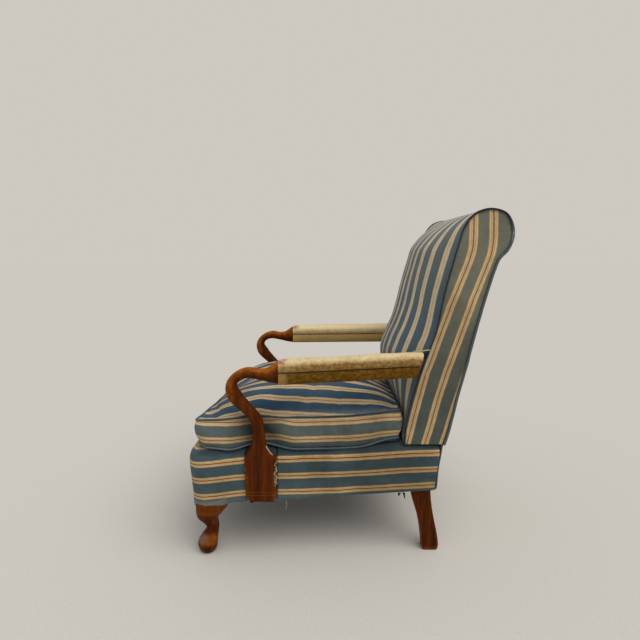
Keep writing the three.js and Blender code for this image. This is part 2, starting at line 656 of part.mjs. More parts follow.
const SPRING_PITCH_X = 0.41 * SEAT_FRONT_HALF;
[-SPRING_PITCH_X, 0, SPRING_PITCH_X].forEach((x0, k) => {
  add(`seat_webbing_along_${k + 1}`, sheet(1, 10, (u, v) => {
    const x = x0 + (u * STRAP_WIDTH) / 2;
    const y = mix(STUMP_FRONT + 4, BACK_RAIL_Y + 18, (v + 1) / 2);
    const top = webTop(x, y) - STRAP_THICK - 1;
    return [x, y, top - STRAP_THICK, top];
  }), webbing);
});

const hessianTop = (x, y) => RAIL_TOP + GAP + HESSIAN_THICK - SEAT_SAG * hollow(x, y);
const deckBottom = (x, y) => DECK_LEVEL - SEAT_SAG * hollow(x, y);

let springNumber = 0;
for (const share of [0.35, 0.6]) {
  const y0 = mix(SEAT_FRONT_Y, SEAT_REAR_Y, share);
  for (const x0 of [-SPRING_PITCH_X, 0, SPRING_PITCH_X]) {
    springNumber += 1;
    let floor = -Infinity;
    let ceiling = Infinity;
    for (let k = 0; k < 12; k += 1) {
      const turn = (k / 12) * 2 * Math.PI;
      const [x, y] = [x0 + SPRING_RADIUS * Math.cos(turn), y0 + SPRING_RADIUS * Math.sin(turn)];
      floor = Math.max(floor, webTop(x, y));
      ceiling = Math.min(ceiling, hessianTop(x, y) - 1.5);
    }
    const low = floor + SPRING_WIRE + 1;
    const high = ceiling - SPRING_WIRE - 1;
    const count = SPRING_TURNS * 9;
    const path = Array.from({ length: count + 1 }, (_, k) => {
      const t = k / count;
      const turn = t * SPRING_TURNS * 2 * Math.PI;
      const radius = mix(SPRING_WAIST, SPRING_RADIUS, (2 * t - 1) ** 2);
      const rise = smooth(0.02, 0.98, t) * 0.35 + clamp01((t - 0.06) / 0.88) * 0.65;
      const [x, y] = [x0 + radius * Math.cos(turn), y0 + radius * Math.sin(turn)];
      return new THREE.Vector3(x, y, mix(low, high, rise));
    });
    add(`seat_spring_${springNumber}`, tube(path, SPRING_WIRE, 4, count), steel);
  }
}

// One grid over the deck for all three layers, so that they lie evenly on each other.
function deckPlan(u, v) {
  const y = mix(DECK_FRONT_Y, DECK_REAR_Y, (v + 1) / 2);
  return [u * deckHalf(y), y];
}

const DECK_CELLS = 12;

function deckSheet(bottomOf, topOf) {
  return sheet(DECK_CELLS, DECK_CELLS, (u, v) => {
    const [x, y] = deckPlan(u, v);
    return [x, y, bottomOf(x, y), topOf(x, y)];
  });
}

// The hessian reaches past the deck by one more cell all round, on to the tops of the rails.
const DECK_SHARE = DECK_CELLS / (DECK_CELLS + 2);
const onDeck = (share) => THREE.MathUtils.clamp(share / DECK_SHARE, -1, 1);
const pastDeck = (share) => (Math.abs(share) > 0.99 ? Math.sign(share) * HESSIAN_TACK : 0);
const hessianSheet = sheet(DECK_CELLS + 2, DECK_CELLS + 2, (u, v) => {
  const edge = Math.max(Math.abs(u), Math.abs(v)) > 0.99;
  const [x, y] = deckPlan(onDeck(u), onDeck(v));
  const [wide, deep] = [pastDeck(u), pastDeck(v)];
  const top = edge ? RAIL_TOP + GAP + HESSIAN_THICK : hessianTop(x, y);
  return [x + wide, y + deep, top - HESSIAN_THICK, top];
});
add('seat_hessian', cut(hessianSheet, ...sides.map(([, side]) => rearPost(side, 1))), hessian);

const under = deckSheet(() => RAIL_TOP - 80, (x, y) => hessianTop(x, y) + GAP);
const over = deckSheet((x, y) => deckBottom(x, y) - GAP, () => DECK_LEVEL + 40);
add('seat_stuffing', cut(deckSheet(() => RAIL_TOP - 60, () => DECK_LEVEL + 20), under, over), stuffing);
add('seat_deck_cloth', deckSheet(deckBottom, (x, y) => deckBottom(x, y) + CALICO_THICK), calico);

const EDGE_ROLL = 7;            // radius of the stuffed roll under the front lip
const edgeRoll = new THREE.CylinderGeometry(EDGE_ROLL, EDGE_ROLL, 2 * (STUMP_INNER - 8), 10);
edgeRoll.rotateZ(Math.PI / 2);
edgeRoll.translate(0, SEAT_FRONT_Y + 30, RAIL_TOP + HESSIAN_THICK + EDGE_ROLL + 4 * GAP);
add('front_edge_roll', solid(edgeRoll), hessian);

// Dust cover: tacked under the rails, sagging, and cut in at the rear to pass between the posts
const DUST_THICK = 1.6;
const DUST_ROWS = 12;
const DUST_SAG = WEB_SAG + 6;
const dustBottom = (x, y) => railBottom(y) - 9 - DUST_SAG * hollow(x, y);
const dustRows = Array.from({ length: DUST_ROWS }, (_, k) => {
  const y = mix(STUMP_FRONT + 2, SEAT_REAR_Y - 92, k / (DUST_ROWS - 1));
  return [y, Math.min(STUMP_INNER - 4, railInner(y) + 8)];
});
dustRows.push([SEAT_REAR_Y - 66, postInner(BORDER_BOTTOM) - 3]);
dustRows.push([BACK_RAIL_Y + 20, postInner(BORDER_BOTTOM) - 3]);
add('dust_cover', sheet(16, dustRows.length - 1, (u, v) => {
  const [y, half] = dustRows[Math.round(((v + 1) / 2) * (dustRows.length - 1))];
  const x = u * half;
  return [x, y, dustBottom(x, y), dustBottom(x, y) + DUST_THICK];
}), blackCloth);

// Loose seat cushion: a boxed pillow with a crowned top, pinched between the arm supports

const cushionHalf = (y) => {
  const taper = smooth(SEAT_FRONT_Y + 124, CUSHION_REAR_Y, y);
  const pinch = PINCH * Math.exp(-(((y - SUPPORT_Y + 4) / 50) ** 2));
  return mix(CUSHION_HALF_FRONT, CUSHION_HALF_REAR, taper) - pinch;
};
const cushionBottom = (y) => lipTop(y) + CUSHION_LIFT;

// The upper seam droops along the front and climbs where the cushion meets the back.
function cushionEdge(y) {
  const nose = CUSHION_NOSE * (1 - smooth(CUSHION_FRONT_Y + 10, CUSHION_FRONT_Y + 150, y));
  return CUSHION_TOP - nose + CUSHION_CLIMB * smooth(CUSHION_REAR_Y - 146, CUSHION_REAR_Y, y);
}

const CUSHION_CELLS = 12;

function cushionPlan(u, v, inset) {
  const round = 1 - CUSHION_CORNER * Math.abs(u * v) ** 7;
  const front = CUSHION_FRONT_Y + FRONT_HOLLOW * (1 - u * u) + (FRONT_SKEW * (1 - u)) / 2;
  const y = mix(front, CUSHION_REAR_Y, (v * round + 1) / 2);
  return [u * round * (cushionHalf(y) - inset), y];
}

const BOXING_BULGE = 7;         // how far the sides swell out between the seams
const BOTTOM_TUCK = 5;          // how much narrower the cushion is at its lower seam
const BOXING_ROWS = 4;
const cushionBox = new THREE.BoxGeometry(2, 2, 2, CUSHION_CELLS, CUSHION_CELLS, BOXING_ROWS);
const cushion = moved(cushionBox, (u, v, t) => {
  const bulge = BOXING_BULGE * (1 - t * t);
  const tuck = (BOTTOM_TUCK * (1 - t)) / 2;
  const [x, flatY] = cushionPlan(u, v, 4 + tuck - bulge);
  const y = flatY + Math.sign(v) * Math.abs(v) ** 12 * (bulge - tuck);
  const swell = smooth(0, 0.4, 1 - Math.abs(u)) * (1 - Math.abs(v) ** 3);
  const top = cushionEdge(y) + CUSHION_CROWN * swell;
  const bottom = cushionBottom(y) + 3 * Math.max(Math.abs(u), Math.abs(v)) ** 8 - 3;
  return [x, y, mix(bottom, top, (t + 1) / 2)];
});
add('seat_cushion', solid(cushion), stripedFabric);

// The path of a welt, moved out from the boxing's edge.
function cushionRim(outset, lift, atTop) {
  const rim = [];
  const count = CUSHION_CELLS;
  for (let k = 0; k < count; k += 1) rim.push([-1 + (2 * k) / count, -1]);
  for (let k = 0; k < count; k += 1) rim.push([1, -1 + (2 * k) / count]);
  for (let k = 0; k < count; k += 1) rim.push([1 - (2 * k) / count, 1]);
  for (let k = 0; k < count; k += 1) rim.push([-1, 1 - (2 * k) / count]);
  const tuck = atTop ? 0 : BOTTOM_TUCK;
  return rim.map(([u, v]) => {
    const [x, flatY] = cushionPlan(u, v, 4 + tuck);
    const y = flatY - Math.sign(v) * Math.abs(v) ** 12 * tuck;
    const z = atTop ? cushionEdge(y) + lift : cushionBottom(y) - lift;
    return [x * (1 + outset / CUSHION_HALF_FRONT), y + outset * (v === -1 ? -1 : v === 1 ? 1 : v), z];
  });
}

const rimCentre = [0, (CUSHION_FRONT_Y + CUSHION_REAR_Y) / 2];
const WELT_OUT = WELT_RADIUS * 0.95 + GAP;
const LOW_WELT_OUT = WELT_RADIUS + 4 * GAP;
const topWelt = cushionRim(WELT_OUT, WELT_OUT, true);
const bottomWelt = cushionRim(LOW_WELT_OUT, -1, false);
add('cushion_top_welt', ringTube(topWelt, WELT_RADIUS, 6, rimCentre), stripedFabric);
add('cushion_bottom_welt', ringTube(bottomWelt, WELT_RADIUS, 6, rimCentre), stripedFabric);

// Back: covers, side panels, piping, stuffing, hessian and webbing on the posts

// Side outline of the back from the front bottom, up the front seam, over the roll and down
// the rear edge to the bottom: distance behind the seat's rear edge, share of the height.
const BACK_OUTLINE = [
  [-83, 0], [-79, 0.093], [-69, 0.181], [-53, 0.264], [-35, 0.348], [-18, 0.425], [-3, 0.5],
  [13, 0.639], [30, 0.749], [49, 0.861], [61, 0.923], [84, 0.973], [113, 0.994], [147, 0.992],
  [170, 0.97], [182, 0.923], [182, 0.879], [171, 0.835], [151, 0.8], [139, 0.754], [116, 0.629],
  [95, 0.498], [82, 0.409], [72, 0.339], [52, 0.212], [31, 0.064], [19, 0],
].map(([behind, share]) => [SEAT_REAR_Y + behind, backZ(share)]);
const outlineCurve = new THREE.SplineCurve(BACK_OUTLINE.map(([y, z]) => new THREE.Vector2(y, z)));
const OUTLINE_STEPS = 52;

// The outline pushed inwards by a distance, as [y, z] points.
function backEdge(inset) {
  const points = [];
  for (let k = 0; k <= OUTLINE_STEPS; k += 1) {
    const t = k / OUTLINE_STEPS;
    const at = outlineCurve.getPoint(t);
    const heading = outlineCurve.getTangent(t);
    points.push([at.x + heading.y * inset, at.y - heading.x * inset]);
  }
  return points;
}

const backHalf = (z) => BACK_HALF_LOW - (BACK_TAPER * (z - BACK_BOTTOM)) / (BACK_TOP - BACK_BOTTOM);
const frontSeam = BACK_OUTLINE.slice(0, 11).map(([y, z]) => [z, y]);

// Swell of the stuffing in front of the seams: nothing at the seat, full at mid height, and
// gone again on top of the roll.
function crown(x, y, z) {
  const rise = smooth(backZ(0.064), backZ(0.38), z);
  const sag = 1 - CROWN_LOSS * smooth(backZ(0.396), backZ(0.62), z);
  const height = rise * sag * (1 - smooth(backZ(0.835), BACK_TOP + 17, z));
  const across = 1 - Math.min(1, Math.abs(x) / (backHalf(z) - CLOTH - 2 * GAP)) ** 2.3;
  const behind = y - along(frontSeam, Math.min(z, backZ(0.928)));
  return BACK_CROWN * height * across * (1 - smooth(10, 44, behind));
}

function backPrism(outline, steps, sideInset) {
  return prism(outline, steps, (u, y, z) => {
    const x = Math.sin((u - 0.5) * Math.PI) * (backHalf(z) - sideInset);
    return [x, y - crown(x, y, z), z];
  });
}

const edge = backEdge(0);
const innerEdge = backEdge(CLOTH);
const rollEnd = edge.findIndex(([y, z], k) => k > OUTLINE_STEPS / 2 && z < backZ(0.815));

const slots = sides.map(([, side]) => armRail(side, 2));
const insideStrip = [...edge.slice(0, rollEnd), ...innerEdge.slice(0, rollEnd).reverse()];
add('inside_back_cover', cut(backPrism(insideStrip, 10, CLOTH + GAP), ...slots), stripedFabric);

const rearTail = [[16, 300], [14, 283], [8, 240], [5, 190]].map(([behind, z]) => [SEAT_REAR_Y + behind, z]);
const outsideOuter = [...edge.slice(rollEnd).map(([y, z]) => [y, z - 1]), ...rearTail];
const outsideInner = outsideOuter.map(([y, z]) => [y - CLOTH, z]).reverse();
add('outside_back_cover', prism([...outsideOuter, ...outsideInner], 4, (u, y, z) => {
  const half = backHalf(Math.max(z, BACK_BOTTOM)) - CLOTH - GAP;
  return [mix(-half, half, u), y, z];
}), stripedFabric);

// The piping stands off the corner between cover and panel, at 45 degrees to both.
const PIPING_OFF = 0.75 * (PIPING_RADIUS + GAP);
const PIPING_SIDES = 6;

// One ring of the piping's section for each step of the outline.
function pipingRings(side) {
  const turns = Array.from({ length: PIPING_SIDES }, (_, j) => ((j + 0.5) / PIPING_SIDES) * 2 * Math.PI);
  const strands = turns.map((turn) => backEdge(-PIPING_OFF - PIPING_RADIUS * Math.cos(turn)));
  return edge.map(([, z0], k) => turns.map((turn, j) => {
    const out = PIPING_OFF + PIPING_RADIUS * Math.sin(turn);
    return [side * (backHalf(z0) + out), ...strands[j][k]];
  }));
}

// The side panels reach a little lower than the covers, down beside the border's lip.
const panelOutline = [...edge, [SEAT_REAR_Y + 17, PANEL_BOTTOM], [SEAT_REAR_Y - 83, PANEL_BOTTOM]];

for (const [name, side] of sides) {
  const panel = prism(panelOutline, 1, (u, y, z) => [side * (backHalf(z) - CLOTH * u), y, z]);
  add(`${name}_back_side_panel`, panel, stripedFabric);
  add(`${name}_back_piping`, loft(pipingRings(side)), pipingFabric);
}

// Crest rail under the roll, and a stay rail above the seat
const CREST_Y = SEAT_REAR_Y + 107;
const CREST_THICK = 30;
const CREST_TOP = POST_TOP - 8;
const CREST_HEIGHT = 64;
const CREST_BOTTOM = CREST_TOP - CREST_HEIGHT;
const crestRail = (grow) => betweenPosts(
  CREST_Y - grow, CREST_Y + CREST_THICK + grow, CREST_BOTTOM - grow, CREST_TOP + grow, GAP - grow);
add('crest_rail', crestRail(0), beech);

const STAY_Y = SEAT_REAR_Y - 21;
const STAY_THICK = 26;
const STAY_HEIGHT = 50;
const STAY_BOTTOM = BACK_BOTTOM + 13;
add('stay_rail', betweenPosts(
  STAY_Y, STAY_Y + STAY_THICK, STAY_BOTTOM, STAY_BOTTOM + STAY_HEIGHT, GAP), beech);

// Layers in front of the posts, each a strip that follows the posts' front faces
function layer(z0, z1, from, to, half) {
  const heights = [z0, ...postFront.map(([z]) => z).filter((z) => z > z0 + 5 && z < z1 - 5), z1];
  const front = heights.map((z) => [along(postFront, z) + from, z]);
  const rear = heights.map((z) => [along(postFront, z) + to, z]).reverse();
  return prism([...front, ...rear], 1, (u, y, z) => [mix(-half(z), half(z), u), y, z]);
}

const WEB_FACE = -GAP - STRAP_THICK;
const HESSIAN_FACE = WEB_FACE - GAP - HESSIAN_THICK;
const lowestStrap = STAY_BOTTOM + STAY_HEIGHT + 10 + STRAP_WIDTH / 2;
[lowestStrap, backZ(0.46), backZ(0.62)].forEach((middle, k) => {
  const [low, high] = [middle - STRAP_WIDTH / 2, middle + STRAP_WIDTH / 2];
  add(`back_webbing_${k + 1}`, layer(low, high, WEB_FACE, -GAP, (z) => postOuter(z) - 6), webbing);
});
const hessianBack = layer(
  backZ(0.037), backZ(0.732), HESSIAN_FACE, WEB_FACE - GAP, (z) => postOuter(z) - 5);
add('back_hessian', cut(hessianBack, ...slots), hessian);

const stuffEdge = backEdge(CLOTH + STUFF_GAP).slice(1, rollEnd - 1);
const stuffRear = [0.764, 0.62, 0.492, 0.348, 0.204, 0.053].map(
  (share) => [along(postFront, backZ(share)) + HESSIAN_FACE - 2 * GAP, backZ(share)]);
const stuffOutline = [...stuffEdge, ...stuffRear];
const stuffBody = backPrism(stuffOutline, 10, CLOTH + GAP);
const posts = sides.map(([, side]) => rearPost(side, GAP));
add('back_stuffing', cut(stuffBody, ...posts, crestRail(GAP), ...slots), stuffing);

export default chair;
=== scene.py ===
"""A sagging old armchair, dressed for looks: striped cloth, worn velvet arms and mahogany.

Lengths are in metres with +Z up, the front towards -Y and the sitter's left towards +X.
Outlines are written as the frame maker's side view has them, in millimetres, with y = 0
near the arm supports, which is 70 mm in front of the middle of the footprint.
"""

import math

import bpy
import numpy as np
from mathutils import Matrix, Vector


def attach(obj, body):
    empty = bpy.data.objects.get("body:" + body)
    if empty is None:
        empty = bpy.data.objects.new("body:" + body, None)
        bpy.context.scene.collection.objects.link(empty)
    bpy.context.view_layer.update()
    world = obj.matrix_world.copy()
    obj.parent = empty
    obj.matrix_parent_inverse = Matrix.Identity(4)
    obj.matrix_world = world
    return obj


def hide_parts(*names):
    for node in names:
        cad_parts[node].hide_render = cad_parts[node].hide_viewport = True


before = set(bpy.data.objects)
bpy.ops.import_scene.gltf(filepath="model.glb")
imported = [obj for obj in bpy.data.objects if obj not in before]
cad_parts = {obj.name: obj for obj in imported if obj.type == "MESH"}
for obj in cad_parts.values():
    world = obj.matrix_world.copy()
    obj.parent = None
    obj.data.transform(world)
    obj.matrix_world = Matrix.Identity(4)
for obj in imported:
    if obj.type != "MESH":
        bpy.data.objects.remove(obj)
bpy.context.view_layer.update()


# Camera, light and floor

# The camera stands at the sitter's left, a little above the seat, and looks across the
# chair. A pale floor, an even sky and one broad soft sun light it plainly.

CAMERA_AT = Vector((1.516, -0.070, 0.824))
CAMERA_DIP = math.radians(7.84)
CAMERA_TURN = math.radians(-0.42)
ahead = Vector((-math.cos(CAMERA_TURN), math.sin(CAMERA_TURN), 0))
across = Vector((math.sin(CAMERA_TURN), math.cos(CAMERA_TURN), 0))
look = ahead * math.cos(CAMERA_DIP) - Vector((0, 0, math.sin(CAMERA_DIP)))
lens = bpy.data.cameras.new("camera")
lens.lens = 27.11
lens.sensor_width = 36
camera = bpy.data.objects.new("camera", lens)
camera.matrix_world = Matrix.Translation(CAMERA_AT) @ Matrix(
    (across, across.cross(look), -look)).transposed().to_4x4()
bpy.context.scene.collection.objects.link(camera)
bpy.context.scene.camera = camera
bpy.context.scene.view_settings.view_transform = "Standard"


def shader(tree, kind, inputs=None, **settings):
    """Adds one shader node: settings go on the node, inputs are values or other outputs."""
    made = tree.nodes.new("ShaderNode" + kind)
    for key, value in settings.items():
        setattr(made, key, value)
    for key, value in (inputs or {}).items():
        if isinstance(value, bpy.types.NodeSocket):
            tree.links.new(value, made.inputs[key])
        else:
            made.inputs[key].default_value = value
    return made


def maths(tree, operation, first, second=0.0, third=0.0):
    """The output of a Math node."""
    return shader(tree, "Math", {0: first, 1: second, 2: third}, operation=operation).outputs[0]


def noise(tree, where, scale, detail=3.0, roughness=0.5, stretch=(1, 1, 1)):
    """Noise from 0 to 1 over a vector, stretched by a Mapping node first."""
    mapped = shader(tree, "Mapping", {"Vector": where, "Scale": stretch})
    made = shader(tree, "TexNoise", {
        "Vector": mapped.outputs[0], "Scale": scale, "Detail": detail, "Roughness": roughness})
    return made.outputs["Fac"]


def steps(tree, factor, stops):
    """A colour ramp over a factor: stops are (place, sRGB colour or grey)."""
    ramp = shader(tree, "ValToRGB", {"Fac": factor})
    band = ramp.color_ramp.elements
    while len(band) < len(stops):
        band.new(0.5)
    for element, (place, colour) in zip(band, sorted(stops, key=lambda stop: stop[0])):
        element.position = place
        element.color = paint(colour)
    return ramp.outputs["Color"]


def paint(colour):
    """An sRGB colour from 0 to 255, or one grey from 0 to 1, as a linear RGBA."""
    if isinstance(colour, (int, float)):
        return (colour, colour, colour, 1)
    lit = [c / 255 for c in colour]
    return (*[c / 12.92 if c <= 0.04045 else ((c + 0.055) / 1.055) ** 2.4 for c in lit], 1)


def new_material(name):
    """A material, its empty node tree and the object coordinates in metres."""
    material = bpy.data.materials.new(name)
    material.use_nodes = True
    tree = material.node_tree
    tree.nodes.clear()
    return material, tree, shader(tree, "TexCoord").outputs["Object"]


def finish_material(tree, colour, rough, others=None, relief=None):
    """Closes a material with a Principled shader. Others are more inputs by name, and relief
    is the (height, strength, depth in metres) of a bump."""
    inputs = {"Base Color": colour, "Roughness": rough, **(others or {})}
    if relief:
        height, strength, depth = relief
        bump = shader(tree, "Bump", {"Strength": strength, "Distance": depth, "Height": height})
        inputs["Normal"] = bump.outputs[0]
    closed = shader(tree, "BsdfPrincipled", inputs)
    tree.links.new(closed.outputs[0], shader(tree, "OutputMaterial").inputs["Surface"])


floor_material, tree, spot = new_material("pale_floor")
tone = steps(tree, noise(tree, spot, 160.0, 3.0, 0.6), [(0.3, (204, 199, 190)), (0.7, (210, 206, 198))])
finish_material(tree, tone, 0.85, {"Specular IOR Level": 0.2})
bpy.ops.mesh.primitive_plane_add(size=60)
floor = bpy.context.object
floor.name = "floor"
floor.data.materials.append(floor_material)

world = bpy.data.worlds.new("room")
bpy.context.scene.world = world
world.use_nodes = True
tree = world.node_tree
tree.nodes.clear()
ray = shader(tree, "LightPath")
seen = maths(tree, "MAXIMUM", ray.outputs["Is Camera Ray"], ray.outputs["Is Transmission Ray"])
soft = shader(tree, "Background", {"Color": (0.96, 0.98, 1.0, 1), "Strength": 0.50})
pale = shader(tree, "Background", {"Color": paint((205, 201, 193)), "Strength": 1.0})
both = shader(tree, "MixShader", {0: seen, 1: soft.outputs[0], 2: pale.outputs[0]})
out = shader(tree, "OutputWorld")
tree.links.new(both.outputs[0], out.inputs["Surface"])

sun = bpy.data.lights.new("broad_light", "SUN")
sun.energy = 1.85
sun.angle = math.radians(60)
sun.color = (1.0, 0.98, 0.95)
sun_object = bpy.data.objects.new("broad_light", sun)
sun_object.rotation_euler = (math.radians(-22), math.radians(24), 0)
bpy.context.scene.collection.objects.link(sun_object)


# Seat border

# The striped cloth round the front and side rails. It is stretched over thin wadding,
# rolled over the top edge, tacked under the rails and cut round the two arm supports.

FRONT_HALF, REAR_HALF = 305.0, 268.0
FRONT_Y, REAR_Y = -354.0, 305.0
CORNER = 42.0
BORDER_TOP = 318.0
SIDE_VIEW_MIDDLE = 70.0


def points_of(x, y, z):
    """Three coordinates, spread to one shape, as an array of points."""
    return np.stack(np.broadcast_arrays(x, y, z), -1)


def run_along(points):
    """The distance from the first point along the first axis of an array of points."""
    return np.cumsum(np.linalg.norm(np.diff(points, axis=0, prepend=points[:1]), axis=-1), 0)


def plan_outward(path):
    """The level unit vector across a path at each of its points, away from its middle."""
    level = np.stack([np.gradient(path[:, 1]), -np.gradient(path[:, 0]), 0 * path[:, 0]], -1)
    level /= np.linalg.norm(level, axis=1, keepdims=True)
    return level * np.sign((level * (path - path.mean(0))).sum())


def smooth(start, end, value):
    """Goes from 0 at start to 1 at end with no corner: t squared times (3 - 2 t)."""
    t = np.clip((np.asarray(value, float) - start) / (end - start), 0, 1)
    return t * t * (3 - 2 * t)


def mix(first, second, share):
    """From first to second by a share: first plus their difference times the share."""
    return first + (second - first) * share


def ripple(points, size, seed):
    """Soft unevenness from about -1 to 1: the mean of nine sine waves, each across its own
    direction, with lengths round the given size in metres."""
    draw = np.random.default_rng(seed)
    ways = draw.normal(size=(9, 3))
    ways /= np.linalg.norm(ways, axis=1, keepdims=True)
    lengths = size * draw.uniform(0.7, 1.6, 9)
    starts = draw.uniform(0, 2 * math.pi, 9)
    waves = np.sin(points @ (ways / lengths[:, None]).T * 2 * math.pi + starts)
    return waves.mean(-1) * 1.8


def grid_faces(rows, columns, wrap_rows=False, wrap_columns=False, start=0):
    """Four-sided faces over a grid of points numbered row by row, closed where asked."""
    row = np.arange(rows if wrap_rows else rows - 1)[:, None]
    column = np.arange(columns if wrap_columns else columns - 1)[None, :]
    below, beside = (row + 1) % rows, (column + 1) % columns
    corners = [row * columns + column, row * columns + beside,
               below * columns + beside, below * columns + column]
    return np.stack(np.broadcast_arrays(*corners), -1).reshape(-1, 4) + start


def put_piece(name, node, points, panels, materials, traits=None, thickness=None):
    """Makes an object from points in side-view millimetres, x and z as they are and y moved
    to the frame's middle, and panels of (faces, stripe place per point or None, material
    number). With a thickness it is an open cloth, else a closed shell, faces outwards."""
    points = (points.reshape(-1, 3) - [0, SIDE_VIEW_MIDDLE, 0]) / 1000
    faces, places, marks = [], [], []
    for corners, place, mark in panels:
        faces += corners.tolist()
        flat = corners.ravel()
        places.append(np.zeros((len(flat), 2)) if place is None else place.reshape(-1, 2)[flat])
        marks.append(np.full(len(corners), mark))
    mesh = bpy.data.meshes.new(name)
    mesh.from_pydata(points.tolist(), [], faces)
    layer = mesh.uv_layers.new(name="cloth")
    layer.data.foreach_set("uv", np.concatenate(places).astype(np.float32).ravel())
    mesh.polygons.foreach_set("material_index", np.concatenate(marks).astype(np.int32))
    mesh.polygons.foreach_set("use_smooth", np.ones(len(faces), bool))
    for key, values in (traits or {}).items():
        mesh.attributes.new(key, "FLOAT", "POINT").data.foreach_set(
            "value", np.asarray(values, np.float32).ravel())
    for material in materials:
        mesh.materials.append(material)
    mesh.update()
    piece = bpy.data.objects.new(name, mesh)
    bpy.context.scene.collection.objects.link(piece)
    corners = points[np.array([face[:3] for face in faces])]
    volume = np.einsum("ij,ij->i", corners[:, 0], np.cross(corners[:, 1], corners[:, 2])).sum()
    if thickness:
        layer = piece.modifiers.new("cloth thickness", "SOLIDIFY")
        layer.thickness = thickness
        layer.offset = -1
    elif volume < 0:
        mesh.flip_normals()
    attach(piece, "root")
    if node:
        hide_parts(node)
    return piece


def stripe_place(distance, along, pitch, band):
    """Where a point lies on the striped cloth: first the stripes passed, with a band's middle
    at every whole number plus a half and the band drawn to its own width; then the length
    along the stripes in units of 50 mm."""
    count = np.asarray(distance, float) / pitch
    whole = np.floor(count)
    off = count - whole - 0.5
    edge = np.broadcast_to(np.asarray(band, float) / np.asarray(pitch, float) / 2, off.shape)
    inside = off * 0.21 / edge
    outside = np.sign(off) * (0.21 + (np.abs(off) - edge) * 0.29 / (0.5 - edge))
    drawn = np.where(np.abs(off) < edge, inside, outside)
    return np.stack(np.broadcast_arrays(whole + 0.5 + drawn, np.asarray(along) / 50.0), -1)


def blend(tree, factor, first, second, kind="MIX"):
    """The output of a Mix node on colours."""
    made = shader(tree, "Mix", {"Factor": factor}, data_type="RGBA", blend_type=kind)
    for socket, value in ((6, first), (7, second)):
        if isinstance(value, bpy.types.NodeSocket):
            tree.links.new(value, made.inputs[socket])
        else:
            made.inputs[socket].default_value = paint(value)
    return made.outputs[2]


def speckle(tree, colour, pattern, low, high):
    """The colour times a grey that goes from low to high, each (place in the pattern, grey)."""
    return blend(tree, 1.0, colour, steps(tree, pattern, [low, high]), "MULTIPLY")


def own_value(tree, name):
    """The piece's own value of that name at each point, 0 where it has none."""
    return shader(tree, "Attribute", attribute_name=name).outputs["Fac"]


def striped_cloth(name, blue, grey, gloss=0.12, bleach=0.0, soiling=0.55):
    """Ribbed stripe cloth: a blue ground that fades to grey where the piece's own "fade" is
    high, and cream bands with tan lines and a rust middle, all with yarns, slubs and soil."""
    material, tree, spot = new_material(name)
    cloth = shader(tree, "UVMap", uv_map="cloth").outputs[0]
    parts = shader(tree, "SeparateXYZ", {0: cloth})
    wander = noise(tree, cloth, 1.3, 2.0, 0.5, (0.6, 1.0, 1))
    shift = maths(tree, "MULTIPLY", maths(tree, "SUBTRACT", wander, 0.5), 0.05)
    hair = noise(tree, cloth, 30.0, 2.0, 0.6, (0.8, 1.6, 1))
    shift = maths(tree, "MULTIPLY_ADD", maths(tree, "SUBTRACT", hair, 0.5), 0.02, shift)
    repeat = maths(tree, "FRACT", maths(tree, "ADD", parts.outputs[0], shift))
    off = maths(tree, "ABSOLUTE", maths(tree, "SUBTRACT", repeat, 0.5))
    band = steps(tree, off, [
        (0.0, (112, 52, 18)), (0.022, (124, 62, 26)), (0.036, (204, 170, 118)),
        (0.07, (218, 188, 138)), (0.084, (176, 134, 80)), (0.096, (180, 138, 84)),
        (0.112, (222, 194, 146)), (0.165, (216, 187, 136)), (0.178, (154, 116, 66)),
        (0.2, (172, 138, 88))])
    faded = own_value(tree, "fade")
    patch = noise(tree, spot, 9.0, 3.0, 0.6)
    faded = maths(tree, "MULTIPLY_ADD", maths(tree, "SUBTRACT", patch, 0.5), 0.5, faded)
    faded = shader(tree, "Clamp", {0: faded}).outputs[0]
    ground = blend(tree, faded, blue, grey)
    edge = steps(tree, off, [(0.205, 0.55), (0.225, 1.0)])
    ground = blend(tree, 0.6, ground, edge, "MULTIPLY")
    inside = steps(tree, off, [(0.203, 1.0), (0.212, 0.0)])
    colour = blend(tree, inside, ground, blend(tree, bleach, band, (232, 214, 180)))
    slub = noise(tree, cloth, 1.0, 4.0, 0.6, (60.0, 3.0, 1))
    colour = speckle(tree, colour, slub, (0.3, 0.74), (0.7, 1.18))
    fleck = noise(tree, cloth, 22.0, 3.0, 0.7)
    colour = speckle(tree, colour, fleck, (0.28, 0.80), (0.72, 1.16))
    soil = noise(tree, spot, 5.0, 5.0, 0.62)
    soil_and_painted_shade = steps(tree, soil, [(0.36, (146, 132, 108)), (0.56, (255, 255, 255))])
    colour = blend(tree, soiling, colour, soil_and_painted_shade, "MULTIPLY")
    worn = own_value(tree, "wear")
    rubbed = maths(tree, "MULTIPLY", worn, steps(tree, fleck, [(0.35, 0.2), (0.62, 1.0)]))
    colour = blend(tree, rubbed, colour, (196, 186, 165))
    # Painted shade: the colour goes towards near black where the piece's own painted shade value is set
    dark = own_value(tree, "painted_shade")
    colour = blend(tree, dark, colour, (14, 16, 20))
    rib = maths(tree, "SINE", maths(tree, "MULTIPLY", parts.outputs[1], 2 * math.pi * 42))
    yarn = maths(tree, "SINE", maths(tree, "MULTIPLY", parts.outputs[0], 2 * math.pi * 34))
    weave = maths(tree, "MULTIPLY_ADD", maths(tree, "MULTIPLY", rib, yarn), 0.5,
                  maths(tree, "MULTIPLY", rib, 0.35))
    rough = maths(tree, "MULTIPLY_ADD", fleck, 2.0, weave)
    finish_material(tree, colour, 0.86, {
        "Specular IOR Level": 0.25, "Sheen Weight": gloss, "Sheen Roughness": 0.45}, (rough, 0.5, 0.0005))
    return material


border_cloth = striped_cloth("border_stripe", (52, 80, 92), (98, 110, 108))


def border_half(y):
    """Half width of the seat: it tapers evenly from the front to the rear."""
    return FRONT_HALF - (FRONT_HALF - REAR_HALF) * (y - FRONT_Y) / (REAR_Y - FRONT_Y)


